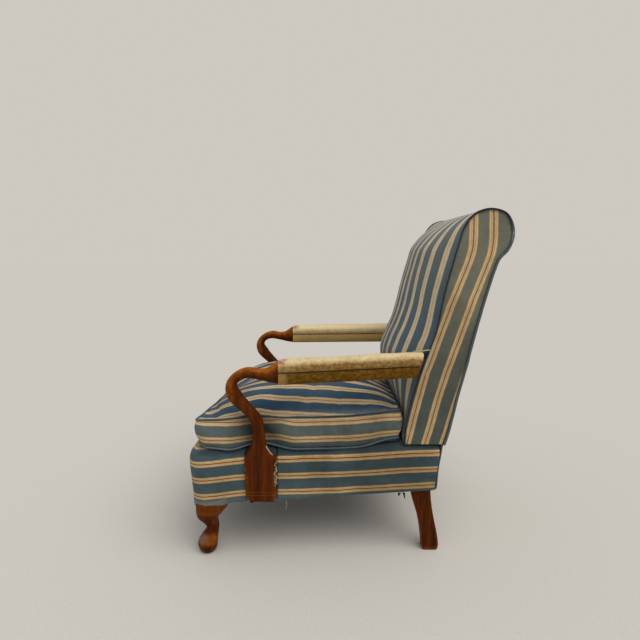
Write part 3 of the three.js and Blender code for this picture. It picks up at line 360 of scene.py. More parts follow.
def side_drop(y):
    """How much lower the lip lies along the sides than at the front."""
    return 8.0 * smooth(-320, -230, y)


SIDE_STATIONS = np.concatenate([
    np.linspace(REAR_Y, -108, 78)[:-1], np.linspace(-108, -222, 58)[:-1], np.linspace(-222, -312, 22)])
CORNER_STEPS, FRONT_STEPS = 16, 46


def plan_ring(inset):
    """The seat's outline in plan, moved in by an inset: the left side from the rear, a round
    corner, the front, and the same mirrored. Returns x and y along the ring."""
    radius = np.maximum(4.0, CORNER - inset)
    front = FRONT_Y + inset
    turn = np.linspace(0, math.pi / 2, CORNER_STEPS)
    corner_y = front + radius - radius * np.sin(turn)
    corner_x = border_half(front + radius) - inset - radius + radius * np.cos(turn)
    flat_x = np.linspace(corner_x[-1], 0, FRONT_STEPS)[1:]
    share = (SIDE_STATIONS - SIDE_STATIONS[-1]) / (REAR_Y - SIDE_STATIONS[-1])
    side_y = mix(front + radius, REAR_Y, share)
    half_x = np.concatenate([border_half(side_y) - inset, corner_x[1:], flat_x])
    half_y = np.concatenate([side_y, corner_y[1:], np.full(len(flat_x), front)])
    return np.concatenate([half_x, -half_x[-2::-1]]), np.concatenate([half_y, half_y[-2::-1]])


def low_edge(y):
    """Height of the lower edge: lowest at the front corners, climbing to the rear."""
    return np.interp(y, [-354, -284, -254, -212, 305], [142, 147, 158, 161, 181])


# Rows from under the rails, up the face and over the lip: each has an inset in plan, and a
# drop below the lower edge, a height on the unsagged face, or a height on the lip
UNDER_ROWS = ((34.0, 1.2), (24.0, 2.2), (14.0, 2.6), (9.0, 1.5))
FACE_LOW = 150.0
FACE_ROWS = np.array([
    [150, 7], [190, 6], [227, 4], [258, 1], [278, 0], [291, 3], [302, 9], [310, 17], [316, 24], [318, 31]])
LIP_ROWS = ((37, 318.3), (44, 317), (50, 312), (54, 304), (55, 297))
heights = np.concatenate([np.linspace(FACE_LOW, 278, 34), np.linspace(278, BORDER_TOP, 18)[1:]])
insets = np.interp(heights, FACE_ROWS[:, 0], FACE_ROWS[:, 1])
insets = np.convolve(np.pad(insets, 3, mode="reflect", reflect_type="odd"), np.ones(7) / 7, "valid")
rows = []
for inset, drop in UNDER_ROWS:
    x, y = plan_ring(inset)
    rows.append([x, y, low_edge(y) - drop])
for inset, height in zip(insets, heights):
    x, y = plan_ring(inset)
    z = mix(low_edge(y), BORDER_TOP, (height - FACE_LOW) / (BORDER_TOP - FACE_LOW))
    rows.append([x, y, z - side_drop(y) * smooth(258, BORDER_TOP, z)])
for inset, z in LIP_ROWS:
    x, y = plan_ring(inset)
    rows.append([x, y, z - side_drop(y)])
border = np.array(rows).transpose(0, 2, 1)

# The three coordinates are views, so they follow every change of the border below
bx, by, bz = np.moveaxis(border, -1, 0)
MIDDLE_ROW = 20
middle = border[MIDDLE_ROW]
outward = plan_outward(middle)
strength = smooth(150, 200, bz) * (1 - smooth(292, 318, bz))
lumps = ripple(border / 1000, 0.13, 11) * 1.6 + ripple(border / 1000, 0.045, 12) * 0.5
pulls = np.sin(by / 9.0 + 2 * ripple(border / 1000, 0.2, 13))
pulls *= np.exp(-((by + 118) / 14.0) ** 2) + np.exp(-((by + 216) / 14.0) ** 2)

# Cut and tucked in behind each arm support, with a painted shade line at both cuts
CUT_FRONT, CUT_REAR = -209.0, -123.5
beside = np.abs(bx) > 240
tuck = smooth(CUT_FRONT - 0.5, CUT_FRONT + 2.0, by) * (1 - smooth(CUT_REAR - 2.5, CUT_REAR, by)) * beside
tuck_edge = (2.0 - np.minimum(np.abs(by - CUT_FRONT), np.abs(by - CUT_REAR))) * beside
border += outward * ((lumps + 0.8 * pulls) * strength * (1 - tuck) - 7.5 * tuck)[..., None]
bz += (ripple(border / 1000, 0.09, 14) * 1.6) * (1 - smooth(150, 185, bz))

# Stripe places: level bands, counted by height on the face and along the cloth on the lip
BAND_Z, PITCH, BAND = 218.0, 47.0, 18.0
sewn = BAND_Z + bz - np.interp(by, [-357, -355, -209, 45, 307], [218, 218, 232, 233, 242])
rolled = run_along(border)
top_row = int(np.argmax(heights > 284)) + len(UNDER_ROWS)
sewn[top_row:] = sewn[top_row - 1] + rolled[top_row:] - rolled[top_row - 1]
sewn += ripple(border / 1000, 0.16, 15) * 1.2
LAST_BLUE = 301.0
at_rear = (by > 120) & (np.abs(bx) > 200)
sewn = np.where(at_rear, np.minimum(sewn, LAST_BLUE), sewn)
travel = run_along(middle)
place = stripe_place(sewn - BAND_Z + PITCH / 2, np.broadcast_to(travel, sewn.shape), PITCH, BAND)

# Fading, rubbed corners and hem, and painted shade on the lip under the cushion and at the cuts
fade = 0.3 + 0.35 * smooth(240, 160, bz) + 0.1 * smooth(284, 314, bz)
corner_spot = np.exp(-(((by + 334) / 22) ** 2 + ((np.abs(bx) - 288) / 16) ** 2))
wear = 0.75 * corner_spot * smooth(300, 312, bz)
hem = smooth(20, 15, bz - bz[len(UNDER_ROWS)]) * smooth(-252, -275, by)
fade = fade + 0.3 * hem
wear = wear + 0.22 * hem
painted_shade = 0.8 * smooth(-0.5, 1.5, tuck_edge) * smooth(150, 190, bz)
painted_shade = painted_shade + 0.35 * smooth(301, 311, bz) * (1 - smooth(330, 350, -by))
# Painted shadow that the cushion casts on the border's top along the sides
shaded = smooth(285, 298, bz) * (np.abs(bx) > 200)
shaded = shaded * smooth(-335, -320, by) * smooth(215, 170, by)
painted_shade = np.minimum(0.9, painted_shade + 0.45 * shaded)

# The front stands forward of the frame maker's face, and the rear end leans with the back
FORWARD, LEAN = 8.0, 11.0
by -= FORWARD * smooth(-290, -350, by)
by += LEAN * smooth(150, BORDER_TOP, bz) * smooth(200, REAR_Y, by)
seat_border = put_piece(
    "seat_border_cloth", "seat_border", border, [(grid_faces(*sewn.shape), place, 0)],
    [border_cloth], {"fade": fade, "wear": wear, "painted_shade": painted_shade}, 0.0022)


# Seat cushion

# A loose boxed cushion, worn hollow along its front and squeezed between the arm supports.
# The top and bottom panels and the boxing are striped cloth, sewn together with welts.

CUSHION_FRONT, CUSHION_REAR = -348.0, 208.0
FRONT_BOW, SLID_BACK = 34.0, 20.0
UPPER_SEAM, DROOP, CLIMB = 391.0, 8.0, 12.0
WIDE_HALF, NARROW_HALF = 288.0, 262.0
PINCH_AT, PINCH = -170.0, 14.0
SWELL, SEAM_INSET = 50.0, 4.0
cushion_cloth = striped_cloth("cushion_stripe", (24, 64, 96), (84, 108, 122), 0.05, 0.25, 0.45)
boxing_cloth = striped_cloth("boxing_stripe", (54, 78, 88), (112, 120, 114), 0.1, 0.12)


def cushion_half(y):
    """Half width: narrower to the rear, and pinched between the arm supports."""
    pinch = PINCH * np.exp(-(((y - PINCH_AT) / 50) ** 2))
    return mix(WIDE_HALF, NARROW_HALF, smooth(-230, CUSHION_REAR, y)) - pinch


def cushion_edge(y):
    """Height of the upper seam: it droops along the front and climbs at the back."""
    nose = DROOP * (1 - smooth(CUSHION_FRONT + 10, CUSHION_FRONT + 150, y))
    return UPPER_SEAM - nose + CLIMB * smooth(60, CUSHION_REAR, y)


def lip_top(y):
    """Height of the border's lip: its top less the drop along the sides."""
    return BORDER_TOP - side_drop(y)


def cushion_plan(u, v, inset):
    """Plan of the cushion for u and v from -1 to 1: corners a little rounded, and a front
    edge that bows in at the middle and has slid back at the right corner."""
    round_off = 1 - np.where(v < 0, 0.03, 0.014) * np.abs(u * v) ** 7
    front = CUSHION_FRONT + FRONT_BOW * (1 - u * u) + SLID_BACK * (1 - u) / 2
    y = mix(front, CUSHION_REAR, (v * round_off + 1) / 2)
    return u * round_off * (cushion_half(y) - inset), y


ACROSS, DEEP, BOX_ROWS = 73, 71, 12
u, v = np.meshgrid(np.sin(np.linspace(-1, 1, ACROSS) * 1.2) / math.sin(1.2),
                   np.sin(np.linspace(-1, 1, DEEP) * 1.2) / math.sin(1.2), indexing="ij")
x, y = cushion_plan(u, v, SEAM_INSET)
swell = np.sin(np.minimum(1, (1 - np.abs(u)) / 0.45) * math.pi / 2) ** 1.3 * (1 - np.abs(v) ** 3)
top = points_of(x, y, cushion_edge(y) + SWELL * swell)
bottom = points_of(x, y, lip_top(y) + 3.0 + 2.0 * np.maximum(np.abs(u), np.abs(v)) ** 8)
number = np.arange(ACROSS * DEEP).reshape(ACROSS, DEEP)
rim = np.concatenate([number[:-1, 0], number[-1, :-1], number[:0:-1, -1], number[0, :0:-1]])
wall = np.linspace(0, 1, BOX_ROWS)[1:-1]
top_rim, bottom_rim = top.reshape(-1, 3)[rim], bottom.reshape(-1, 3)[rim]
rim_out = plan_outward(top_rim)

# The lower seam hangs over the lip at the sides, ahead of the arm supports and behind them
rim_y = top_rim[:, 1]
tucked = smooth(0.0, 90.0, np.abs(rim_y - PINCH_AT))[:, None]
ends = smooth(-240, -330, rim_y) + 0.3 * smooth(110, 200, rim_y)
at_side = smooth(200, 250, np.abs(top_rim[:, 0]))
ahead_of = at_side * smooth(-345, -310, rim_y) * smooth(-185, -262, rim_y)
behind_it = at_side * smooth(-152, -70, rim_y) * smooth(215, 50, rim_y)
hang = 10.0 * ahead_of + 6.0 * behind_it - 10.0 * ends * (1 - ahead_of)
bottom_rim = bottom_rim + rim_out * hang[:, None]
bottom_rim[:, 2] += 13.0 * smooth(90, 206, rim_y) * at_side - 9.5 * ahead_of - 10.0 * behind_it
bottom.reshape(-1, 3)[rim] = bottom_rim
boxing = mix(top_rim, bottom_rim, wall[:, None, None]) + rim_out * (
    (1.0 + 10.0 * tucked) * np.sin(wall ** 0.95 * math.pi)[:, None, None] ** 0.7)
points = np.concatenate([top.reshape(-1, 3), bottom.reshape(-1, 3), boxing.reshape(-1, 3)])
half_count = ACROSS * DEEP
box_numbers = np.concatenate([
    rim[None], np.arange(len(boxing) * len(rim)).reshape(len(boxing), -1) + 2 * half_count,
    rim[None] + half_count])
cushion_faces = [
    grid_faces(ACROSS, DEEP), grid_faces(ACROSS, DEEP)[:, ::-1] + half_count,
    box_numbers.ravel()[grid_faces(BOX_ROWS, len(rim), wrap_columns=True)]]

# Stripe places: on the top they run front to back and are counted along the arc from the
# middle; on the boxing they are level and counted by height between the two seams
arc = run_along(top)
arc -= arc[ACROSS // 2]
arc = arc[:, np.abs(v[0]) < 0.6].mean(1)[:, None]
arc = arc * mix(WIDE_HALF, NARROW_HALF, smooth(-230, CUSHION_REAR, top[..., 1])) / 280.0
TOP_PITCH, TOP_BAND, TOP_BAND_AT = 51.7, 20.0, 119.5
BOX_PITCH, BOX_BAND, BOX_BAND_Z = 45.5, 19.0, 334.5
flat_place = np.zeros((len(points), 2))
flat_place[:half_count] = stripe_place(
    arc - TOP_BAND_AT + 20.5 * TOP_PITCH + ripple(top / 1000, 0.2, 24) * 1.5, top[..., 1],
    TOP_PITCH, TOP_BAND).reshape(-1, 2)
flat_place[half_count:2 * half_count] = flat_place[:half_count]
climb = points[:, 2] - BOX_BAND_Z + 1.3 * ripple(points / 1000, 0.2, 25)
climb -= 8.0 * smooth(60, 190, points[:, 1]) + 5.0 * np.exp(-(((points[:, 1] + 115) / 25) ** 2))
level_place = stripe_place(
    climb + 10.5 * BOX_PITCH, points[:, 1] - points[:, 0], BOX_PITCH, BOX_BAND)

# The filling: a cloth simulation, pressure in the sewn cover with its seams held
PRESSURE, STEPS, MOST_MOVE, QUICK_SWELL = 4.0, 20, 22.0, 7.0
seams = np.concatenate([rim, rim + half_count])
shell = bpy.data.meshes.new("cushion_shell")
shell.from_pydata((points / 1000).tolist(), [], np.concatenate(cushion_faces)[:, ::-1].tolist())
pillow = bpy.data.objects.new("cushion_shell", shell)
bpy.context.scene.collection.objects.link(pillow)
pillow.vertex_groups.new(name="seams").add(seams.tolist(), 1.0, "REPLACE")
blow = pillow.modifiers.new("filling", "CLOTH").settings
blow.use_pressure = True
blow.uniform_pressure_force = PRESSURE
blow.effector_weights.gravity = 0.0
blow.vertex_group_mass = "seams"
blow.quality = 5
blow.shrink_min = -0.02
blow.bending_stiffness = 0.4
for step in range(1, STEPS + 1):
    bpy.context.scene.frame_set(step)
after = pillow.evaluated_get(bpy.context.evaluated_depsgraph_get()).to_mesh()
blown = np.empty(len(points) * 3)
after.vertices.foreach_get("co", blown)
move = blown.reshape(-1, 3) * 1000 - points
reach = np.linalg.norm(move, axis=1, keepdims=True)
move *= np.minimum(1, MOST_MOVE / np.maximum(reach, 1e-6))
move[half_count:2 * half_count] = 0
move[2 * half_count:] *= 0.5
points = points + move
bpy.data.objects.remove(pillow)
bpy.context.scene.frame_set(1)

# Sat-down hills and hollows on the top, slack folds fanning out from the two supports
top_mask = np.zeros(len(points))
top_mask[:half_count] = (swell ** 0.5).ravel()
metres = points / 1000
points[:, 2] += top_mask * (ripple(metres, 0.16, 21) * 2.4 + ripple(metres, 0.06, 22) * 0.9)
squeeze = np.exp(-(((points[:, 1] - PINCH_AT) / 62) ** 2)) * smooth(175, 268, np.abs(points[:, 0]))
points[:, 2] += top_mask * squeeze * 5.0 * np.sin(points[:, 1] / 17.0 + points[:, 0] / 40.0)
side_mask = np.zeros(len(points))
side_mask[2 * half_count:] = np.repeat(np.sin(wall * math.pi), len(rim))
box_points = points[2 * half_count:]
folds = ripple(metres[2 * half_count:], 0.08, 23) * 1.6
folds = folds + 3.0 * squeeze[2 * half_count:] * np.sin(box_points[:, 2] / 7.0 + box_points[:, 1] / 22.0)
points[2 * half_count:] += np.tile(rim_out, (len(boxing), 1)) * (folds * side_mask[2 * half_count:])[:, None]
faded = 0.35 + 0.3 * side_mask + 0.25 * ripple(metres, 0.25, 29) * (1 - side_mask)
# Painted shade in the pinch beside each arm support: less fade gives the top a deeper blue there, and the
# cloth there is darkened, most on the boxing
faded -= 0.35 * squeeze * top_mask
soil_and_painted_shade = 0.55 * squeeze * smooth(225, 262, np.abs(points[:, 0])) * (0.4 + 0.6 * side_mask)
near_seam = smooth(0.10, 0.0, 1 - np.abs(u)).ravel() * (np.abs(points[:half_count, 1] - PINCH_AT) > 40)
rubbed = 0 * faded
rubbed[:half_count] = 0.35 * near_seam
cushion = put_piece(
    "seat_cushion_cloth", "seat_cushion", points, [
        (cushion_faces[0], flat_place, 0), (cushion_faces[1], flat_place, 0),
        (cushion_faces[2], level_place, 1)],
    [cushion_cloth, boxing_cloth],
    {"fade": faded, "wear": rubbed, "painted_shade": soil_and_painted_shade})
cushion.modifiers.new("rounding", "SUBSURF").render_levels = 1


def pipe(path, radius, sides, upright, wrap=False):
    """A round tube along a path: at each point a circle of the radius is drawn across the
    heading, with one axis as near to the upright direction as it can be."""
    if wrap:
        heading = np.roll(path, -1, 0) - np.roll(path, 1, 0)
    else:
        heading = np.gradient(path, axis=0)
    heading /= np.linalg.norm(heading, axis=1, keepdims=True)
    side = np.cross(heading, upright)
    side /= np.linalg.norm(side, axis=-1, keepdims=True)
    lift = np.cross(side, heading)
    turn = np.linspace(0, 2 * math.pi, sides, endpoint=False)
    radius = np.broadcast_to(np.asarray(radius, float), (len(path),))[:, None, None]
    ring = side[:, None] * np.cos(turn)[:, None] + lift[:, None] * np.sin(turn)[:, None]
    return path[:, None] + ring * radius


WELT_SIDES = 10
welt_cloth = striped_cloth("welt_stripe", (38, 54, 66), (96, 120, 134), 0.05)
# The lower welt is painted paler all along by its pale share and its small rub all round: painted light, as
# if lit from above. The rub at the front of each welt is wear.
for welt_name, rim_points, out, lift, radius, rub_all, rub_front, pale, node in (
        ("cushion_upper_welt", top_rim, 2.2, 0.2, 2.4, 0.0, 0.12, 0.0, "cushion_top_welt"),
        ("cushion_lower_welt", bottom_rim, 1.6, 0.0, 3.0, 0.08, 0.4, 0.4, "cushion_bottom_welt")):
    path = rim_points + rim_out * out + [0, 0, lift]
    path[:, 2] += ripple(path / 1000, 0.07, 26) * 1.4
    pulled = np.exp(-(((path[:, 1] + 172) / 30) ** 2)) * (np.abs(path[:, 0]) > 200)
    path[:, 2] += pulled * 2.0 + pulled * 1.5 * np.sin(path[:, 1] / 6.0)
    path += rim_out * (ripple(path / 1000, 0.05, 27) * 0.8)[:, None]
    tube_points = pipe(path, radius, WELT_SIDES, (0, 0, 1), wrap=True)
    length = run_along(path)
    turn = np.arange(WELT_SIDES) * 2.2
    welt_place = stripe_place(turn[None, :] * 0.5 + 0 * length[:, None], length[:, None] + 0 * turn, 50, 20)
    fade_and_painted_light = 0.35 + pale + 0.5 * ripple(tube_points / 1000, 0.12, 28)
    rubbed = rub_all + rub_front * smooth(-150, -280, tube_points[..., 1])
    # Painted shade, darkest on each welt's underside
    downward = -np.sin(np.arange(WELT_SIDES) * 2 * math.pi / WELT_SIDES)
    under = np.broadcast_to(0.3 + 0.3 * downward, rubbed.shape)
    put_piece(
        welt_name, node, tube_points, [(grid_faces(len(path), WELT_SIDES, True, True), welt_place, 0)],
        [welt_cloth],
        {"fade": fade_and_painted_light, "wear": fade_and_painted_light * rubbed, "painted_shade": under})


# Back

# The stuffed back: an inside cover that swells in front of its seams and rolls over the
# top, an outside cover, and a panel on each side whose seams are piped in dark cloth.

BACK_LOW, BACK_HIGH = 312.0, 938.0
LOW_HALF, HIGH_HALF = 266.0, 243.0
CROWN, CROWN_LOSS = 83.0, 0.15
FRONT_KNOTS = 13
BACK_OUTLINE = np.array([
    [222, 312], [226, 370], [236, 425], [252, 477], [270, 530], [287, 578], [302, 625], [318, 712],
    [335, 781], [354, 851], [366, 890], [389, 921], [418, 934], [452, 933], [475, 919], [487, 890],
    [487, 862], [476, 835], [456, 813], [444, 784], [421, 706], [400, 624], [387, 568], [377, 524],
    [357, 445], [336, 352], [324, 312]], float)


def spline(knots, share):
    """A smooth curve through the knots for shares from 0 to 1: between two knots a cubic
    whose slopes are half the step between each knot's neighbours."""
    at = np.clip(share, 0, 1) * (len(knots) - 1)
    cell = np.minimum(at.astype(int), len(knots) - 2)
    w = (at - cell)[:, None]
    before, first = knots[np.maximum(cell - 1, 0)], knots[cell]
    second, after = knots[cell + 1], knots[np.minimum(cell + 2, len(knots) - 1)]
    leave, arrive = (second - before) / 2, (after - first) / 2
    return ((2 * first - 2 * second + leave + arrive) * w ** 3
            + (-3 * first + 3 * second - 2 * leave - arrive) * w ** 2 + leave * w + first)


def back_edge(share, inset=0.0):
    """The back's side outline, pushed in by an inset across its heading."""
    at = spline(BACK_OUTLINE, share)
    heading = spline(BACK_OUTLINE, np.clip(share + 1e-4, 0, 1)) - spline(
        BACK_OUTLINE, np.clip(share - 1e-4, 0, 1))
    heading /= np.linalg.norm(heading, axis=1, keepdims=True)
    return at + np.stack([heading[:, 1], -heading[:, 0]], -1) * inset


def back_half(z):
    """Half width of the back: it narrows evenly from the seat to the roll."""
    return mix(LOW_HALF, HIGH_HALF, (z - BACK_LOW) / (BACK_HIGH - BACK_LOW))


def crown(x, y, z):
    """How far the stuffing swells in front of the seams: most below mid height and in the
    middle, less above, nothing at the seat, at the seams and on top of the roll."""
    tall = smooth(352, 550, z) * (1 - CROWN_LOSS * smooth(560, 700, z)) * (1 - smooth(825, 955, z))
    wide = 1 - np.minimum(1, np.abs(x) / (back_half(z) - 2.0)) ** 2.3
    seam = np.interp(np.minimum(z, 893), BACK_OUTLINE[:11, 1], BACK_OUTLINE[:11, 0])
    return CROWN * tall * wide * (1 - smooth(10, 44, y - seam))


back_cloth = striped_cloth("back_stripe", (68, 96, 114), (112, 120, 116), 0.2, 0.7, 0.3)
fine = np.linspace(0, 1, 2001)
outline = back_edge(fine)
roll_end = fine[np.argmax((fine > 0.5) & (outline[:, 1] < 822))]
share = np.linspace(0, roll_end, 170)
edge = back_edge(share)
side = np.sin(np.linspace(-1, 1, 141) * math.pi / 2)
z = edge[:, 1][:, None] + 0 * side
x = side * (back_half(z) - 1.2)
y = edge[:, 0][:, None] - crown(x, edge[:, 0][:, None], z)
inside = points_of(x, y, z)
calm = (1 - np.abs(side) ** 6) * smooth(0.0, 0.06, share)[:, None]
inside[..., 1] += calm * (ripple(inside / 1000, 0.2, 31) * 2.0 + ripple(inside / 1000, 0.07, 32) * 0.7)
length = run_along(edge)
BACK_PITCH, FLAT_HALF = 50.0, 255.0
counted = side * FLAT_HALF + 50 * BACK_PITCH + ripple(inside / 1000, 0.25, 33) * 1.3
inside_place = stripe_place(counted, length[:, None] + 0 * side, BACK_PITCH, 19.5)
inside_fade = 0.25 + 0.3 * smooth(600, 900, z) + 0.15 * ripple(inside / 1000, 0.3, 34)
inside_wear = 0.75 * smooth(0.986, 0.996, np.abs(side)) * smooth(860, 905, z) * smooth(390, 400, y)
# Painted shade: a dark patch on the cover stands for the shade in the tear above the near arm's rear end
tear_shade = np.exp(-(((x - 256) / 15) ** 2 + ((z - 555) / 9) ** 2))
inside_cover = put_piece(
    "inside_back_cloth", "inside_back_cover", inside,
    [(grid_faces(*z.shape)[:, ::-1], inside_place, 0)], [back_cloth],
    {"fade": inside_fade, "wear": inside_wear, "painted_shade": 0.95 * np.clip(tear_shade * 1.8, 0, 1)}, 0.0025)

# The outside cover hangs from under the roll and is tacked under the back rail
tail = np.array([[322, 306], [319, 283], [313, 240], [310, 190], [306, 184], [298, 183]], float)
share = np.linspace(roll_end, 1, 70)
edge = np.concatenate([back_edge(share), spline(tail, np.linspace(0, 1, 26))])
side = np.linspace(-1, 1, 61)
z = edge[:, 1][:, None] + 0 * side
x = side * (np.minimum(back_half(np.maximum(z, 312)), 266) - 1.5)
sag = (1 - side ** 4) * smooth(190, 260, z) * smooth(800, 700, z)
y = edge[:, 0][:, None] - sag * 3.0 + ripple(points_of(x, 0, z) / 1000, 0.22, 35) * 1.6 * sag
length = run_along(edge)
counted = side * FLAT_HALF + 50 * BACK_PITCH + 0 * z
outside_place = stripe_place(counted, length[:, None] + 0 * side, BACK_PITCH, 22.0)
outside_cover = put_piece(
    "outside_back_cloth", "outside_back_cover", points_of(x, y, z),
    [(grid_faces(*z.shape)[:, ::-1], outside_place, 0)], [back_cloth],
    {"fade": 0.5 + 0 * z}, 0.0025)

# The side panels: flat cloth over the posts, its bands following the lean of the back
panel_cloth = striped_cloth("panel_stripe", (62, 78, 82), (122, 122, 106), 0.08, 0.12, 0.4)
APEX = 0.503
BAND_LINE = np.array([
    [290, 221], [352, 235.4], [430, 253], [503, 272], [624, 313.5], [690, 335.5], [760, 362], [808, 380],
    [828, 386], [846, 388.5], [870, 389.3], [960, 387.5]])
BAND_PITCH = np.array([[290, 48], [352, 49.5], [503, 53.5], [690, 53], [838, 51.3], [960, 51]])
BAND_WIDTH = np.array([[290, 22], [352, 22.5], [503, 23], [690, 25], [960, 26]])
lanes = np.linspace(0, 1, 41)
climb = np.linspace(0, 1, 150)
front_line = back_edge(climb * APEX)
rear_line = back_edge(1 - climb * (1 - APEX))
panel = mix(front_line[:, None], rear_line[:, None], lanes[None, :, None])
py, pz = panel[..., 0], panel[..., 1]
band_at = np.interp(pz, BAND_LINE[:, 0], BAND_LINE[:, 1])
pitch = np.interp(pz, BAND_PITCH[:, 0], BAND_PITCH[:, 1])
width = np.interp(pz, BAND_WIDTH[:, 0], BAND_WIDTH[:, 1])
band_count = (py - band_at) / pitch + 0.5 + 50.0
band_count = np.where(pz > 800, np.minimum(band_count, 52.2), band_count)
panel_place = stripe_place(band_count * pitch, pz, pitch, width)
belly = np.sin(lanes * math.pi)[None, :] ** 0.5 * smooth(312, 345, pz) * (1 - smooth(925, 934, pz))
for side_name, hand in (("left", 1), ("right", -1)):
    px = back_half(pz) + belly * (1.6 + ripple(panel @ np.array([[1, 0, 0], [0, 0, 1]]) / 1000, 0.15, 36))
    fade = 0.4 + 0.5 * smooth(420, 700, pz) + 0.1 * ripple(points_of(px, py, pz) / 1000, 0.2, 37)
    seam_rub = smooth(13, 3, py - np.interp(pz, BACK_OUTLINE[:FRONT_KNOTS, 1], BACK_OUTLINE[:FRONT_KNOTS, 0]))
    seam_rub *= smooth(500, 530, pz) * smooth(600, 570, pz) * 0.8 * (hand > 0)
    piece = put_piece(
        side_name + "_back_panel_cloth", side_name + "_back_side_panel", points_of(hand * px, py, pz),
        [(grid_faces(*px.shape)[:, ::hand], panel_place, 0)], [panel_cloth],
        {"fade": fade, "wear": seam_rub}, 0.0022)


def tube_panels(rows, sides, start=0):
    """The panels of a tube: four-sided faces along it and a fan of triangles at each end."""
    first = np.arange(sides) + start
    last = first + (rows - 1) * sides
    fans = [np.stack([ring[np.zeros(sides - 2, int)], ring[a], ring[b]], -1) for ring, a, b in (
        (first, slice(2, None), slice(1, -1)), (last, slice(1, -1), slice(2, None)))]
    return [(faces, None, 0) for faces in (grid_faces(rows, sides, False, True, start), *fans)]


# Piping round each panel: cord in dark navy cloth, rubbed pale on the roll's rear corner
dark_piping, tree, spot = new_material("dark_piping")
fuzz = noise(tree, spot, 900.0, 2.0, 0.7)
worn = own_value(tree, "wear")
worn = maths(tree, "MULTIPLY", worn, steps(tree, noise(tree, spot, 160.0, 3.0), [(0.4, 0.0), (0.55, 1.0)]))
lighter = own_value(tree, "fade")
colour = blend(tree, lighter, steps(tree, fuzz, [(0.3, (14, 20, 30)), (0.7, (38, 48, 62))]),
               steps(tree, fuzz, [(0.3, (62, 72, 78)), (0.7, (100, 110, 112))]))
colour = blend(tree, worn, colour, (188, 184, 168))
finish_material(tree, colour, 0.8, {"Specular IOR Level": 0.3, "Sheen Weight": 0.1}, (fuzz, 0.6, 0.0004))
OFF = 2.7
PIPING_SIDES = 10
for side_name, hand in (("left", 1), ("right", -1)):
    share = np.linspace(0, 1, 320)
    line = back_edge(share, -OFF)
    path = np.stack([hand * (back_half(line[:, 1]) + OFF), line[:, 0], line[:, 1]], -1)
    path += ripple(path / 1000, 0.04, 38)[:, None] * np.array([0.0, 0.5, 0.5])
    rear_run = (share > 0.55) * smooth(925, 880, path[:, 2])
    size = 1.8 + 1.0 * smooth(880, 905, path[:, 2]) + 1.7 * rear_run
    tube_points = pipe(path, size, PIPING_SIDES, (1, 0, 0))
    rub = np.exp(-(((tube_points[..., 1] - 484) / 10) ** 2 + ((tube_points[..., 2] - 870) / 10) ** 2))
    put_piece(
        side_name + "_back_piping_cord", side_name + "_back_piping", tube_points,
        tube_panels(len(path), PIPING_SIDES), [dark_piping],
        {"wear": rub, "fade": 0.9 * rear_run[:, None] + 0 * rub})


# Arm pads

# Each arm is a wooden rail wrapped in velvet: a stuffed roll on top and a plain border
# below it, with a tight seam between. The pile is rubbed bare along the top and front.

ARM_FRONT, ARM_REAR = -114.0, 243.0
ROLL_BASE, ROLL_TALL, ROLL_HALF, ROLL_SIDES = 523.0, 31.0, 28.5, 48
SKIRT_MIDDLE, SKIRT_HALF, SKIRT_HALF_TALL, SKIRT_SIDES = 506.4, 26.8, 16.0, 56
END_ROWS, LENGTH_ROWS = 6, 90


def velvet(name, pile, bare, deep, sheen):
    """Cotton velvet: a pile colour with nap streaks, deeper in the hollows and paler where
    the piece's own "wear" says that it is rubbed, with a dusky spot where "stain" is set."""
    material, tree, spot = new_material(name)
    nap = noise(tree, spot, 130.0, 6.0, 0.75, (1.0, 0.6, 1.0))
    grain = noise(tree, spot, 650.0, 2.0, 0.7)
    colour = steps(tree, nap, [(0.3, deep), (0.62, pile)])
    worn = own_value(tree, "wear")
    rubbed = maths(tree, "MULTIPLY_ADD", maths(tree, "SUBTRACT", nap, 0.48), 1.1, worn)
    rubbed = shader(tree, "Clamp", {0: rubbed}).outputs[0]
    colour = blend(tree, rubbed, colour, bare)
    colour = speckle(tree, colour, grain, (0.25, 0.78), (0.75, 1.15))
    dots = steps(tree, noise(tree, spot, 240.0, 2.0), [(0.62, 0.0), (0.7, 0.5)])
    colour = blend(tree, dots, colour, deep)
    uneven = steps(tree, noise(tree, spot, 110.0, 3.0), [(0.36, 0.2), (0.55, 1.0)])
    stain = maths(tree, "MULTIPLY", own_value(tree, "stain"), uneven)
    colour = blend(tree, stain, colour, (146, 92, 74))
    tufts = maths(tree, "MULTIPLY_ADD", nap, 1.5, grain)
    finish_material(tree, colour, 0.9, {
        "Specular IOR Level": 0.12, "Sheen Weight": sheen, "Sheen Roughness": 0.35}, (tufts, 0.5, 0.0006))
    return material


roll_velvet = velvet("worn_velvet", (150, 116, 58), (232, 208, 160), (112, 80, 32), 0.2)
border_velvet = velvet("border_velvet", (102, 68, 6), (176, 146, 88), (82, 52, 2), 0.03)


def arm_rise(y):
    """The arm climbs 10 mm from its front to its rear."""
    return 10.0 * np.clip((y - ARM_FRONT) / (ARM_REAR - ARM_FRONT), 0, 1)


def arm_middle(y):
    """Middle of the arm in x: it runs evenly inwards from its front to its rear."""
    return mix(300.0, 264.0, np.clip((y - ARM_FRONT) / (ARM_REAR - ARM_FRONT), 0, 1))


def arm_rear(z):
    """The arm's rear end leans with the back."""
    return ARM_REAR + (z - 500.0) * 0.3


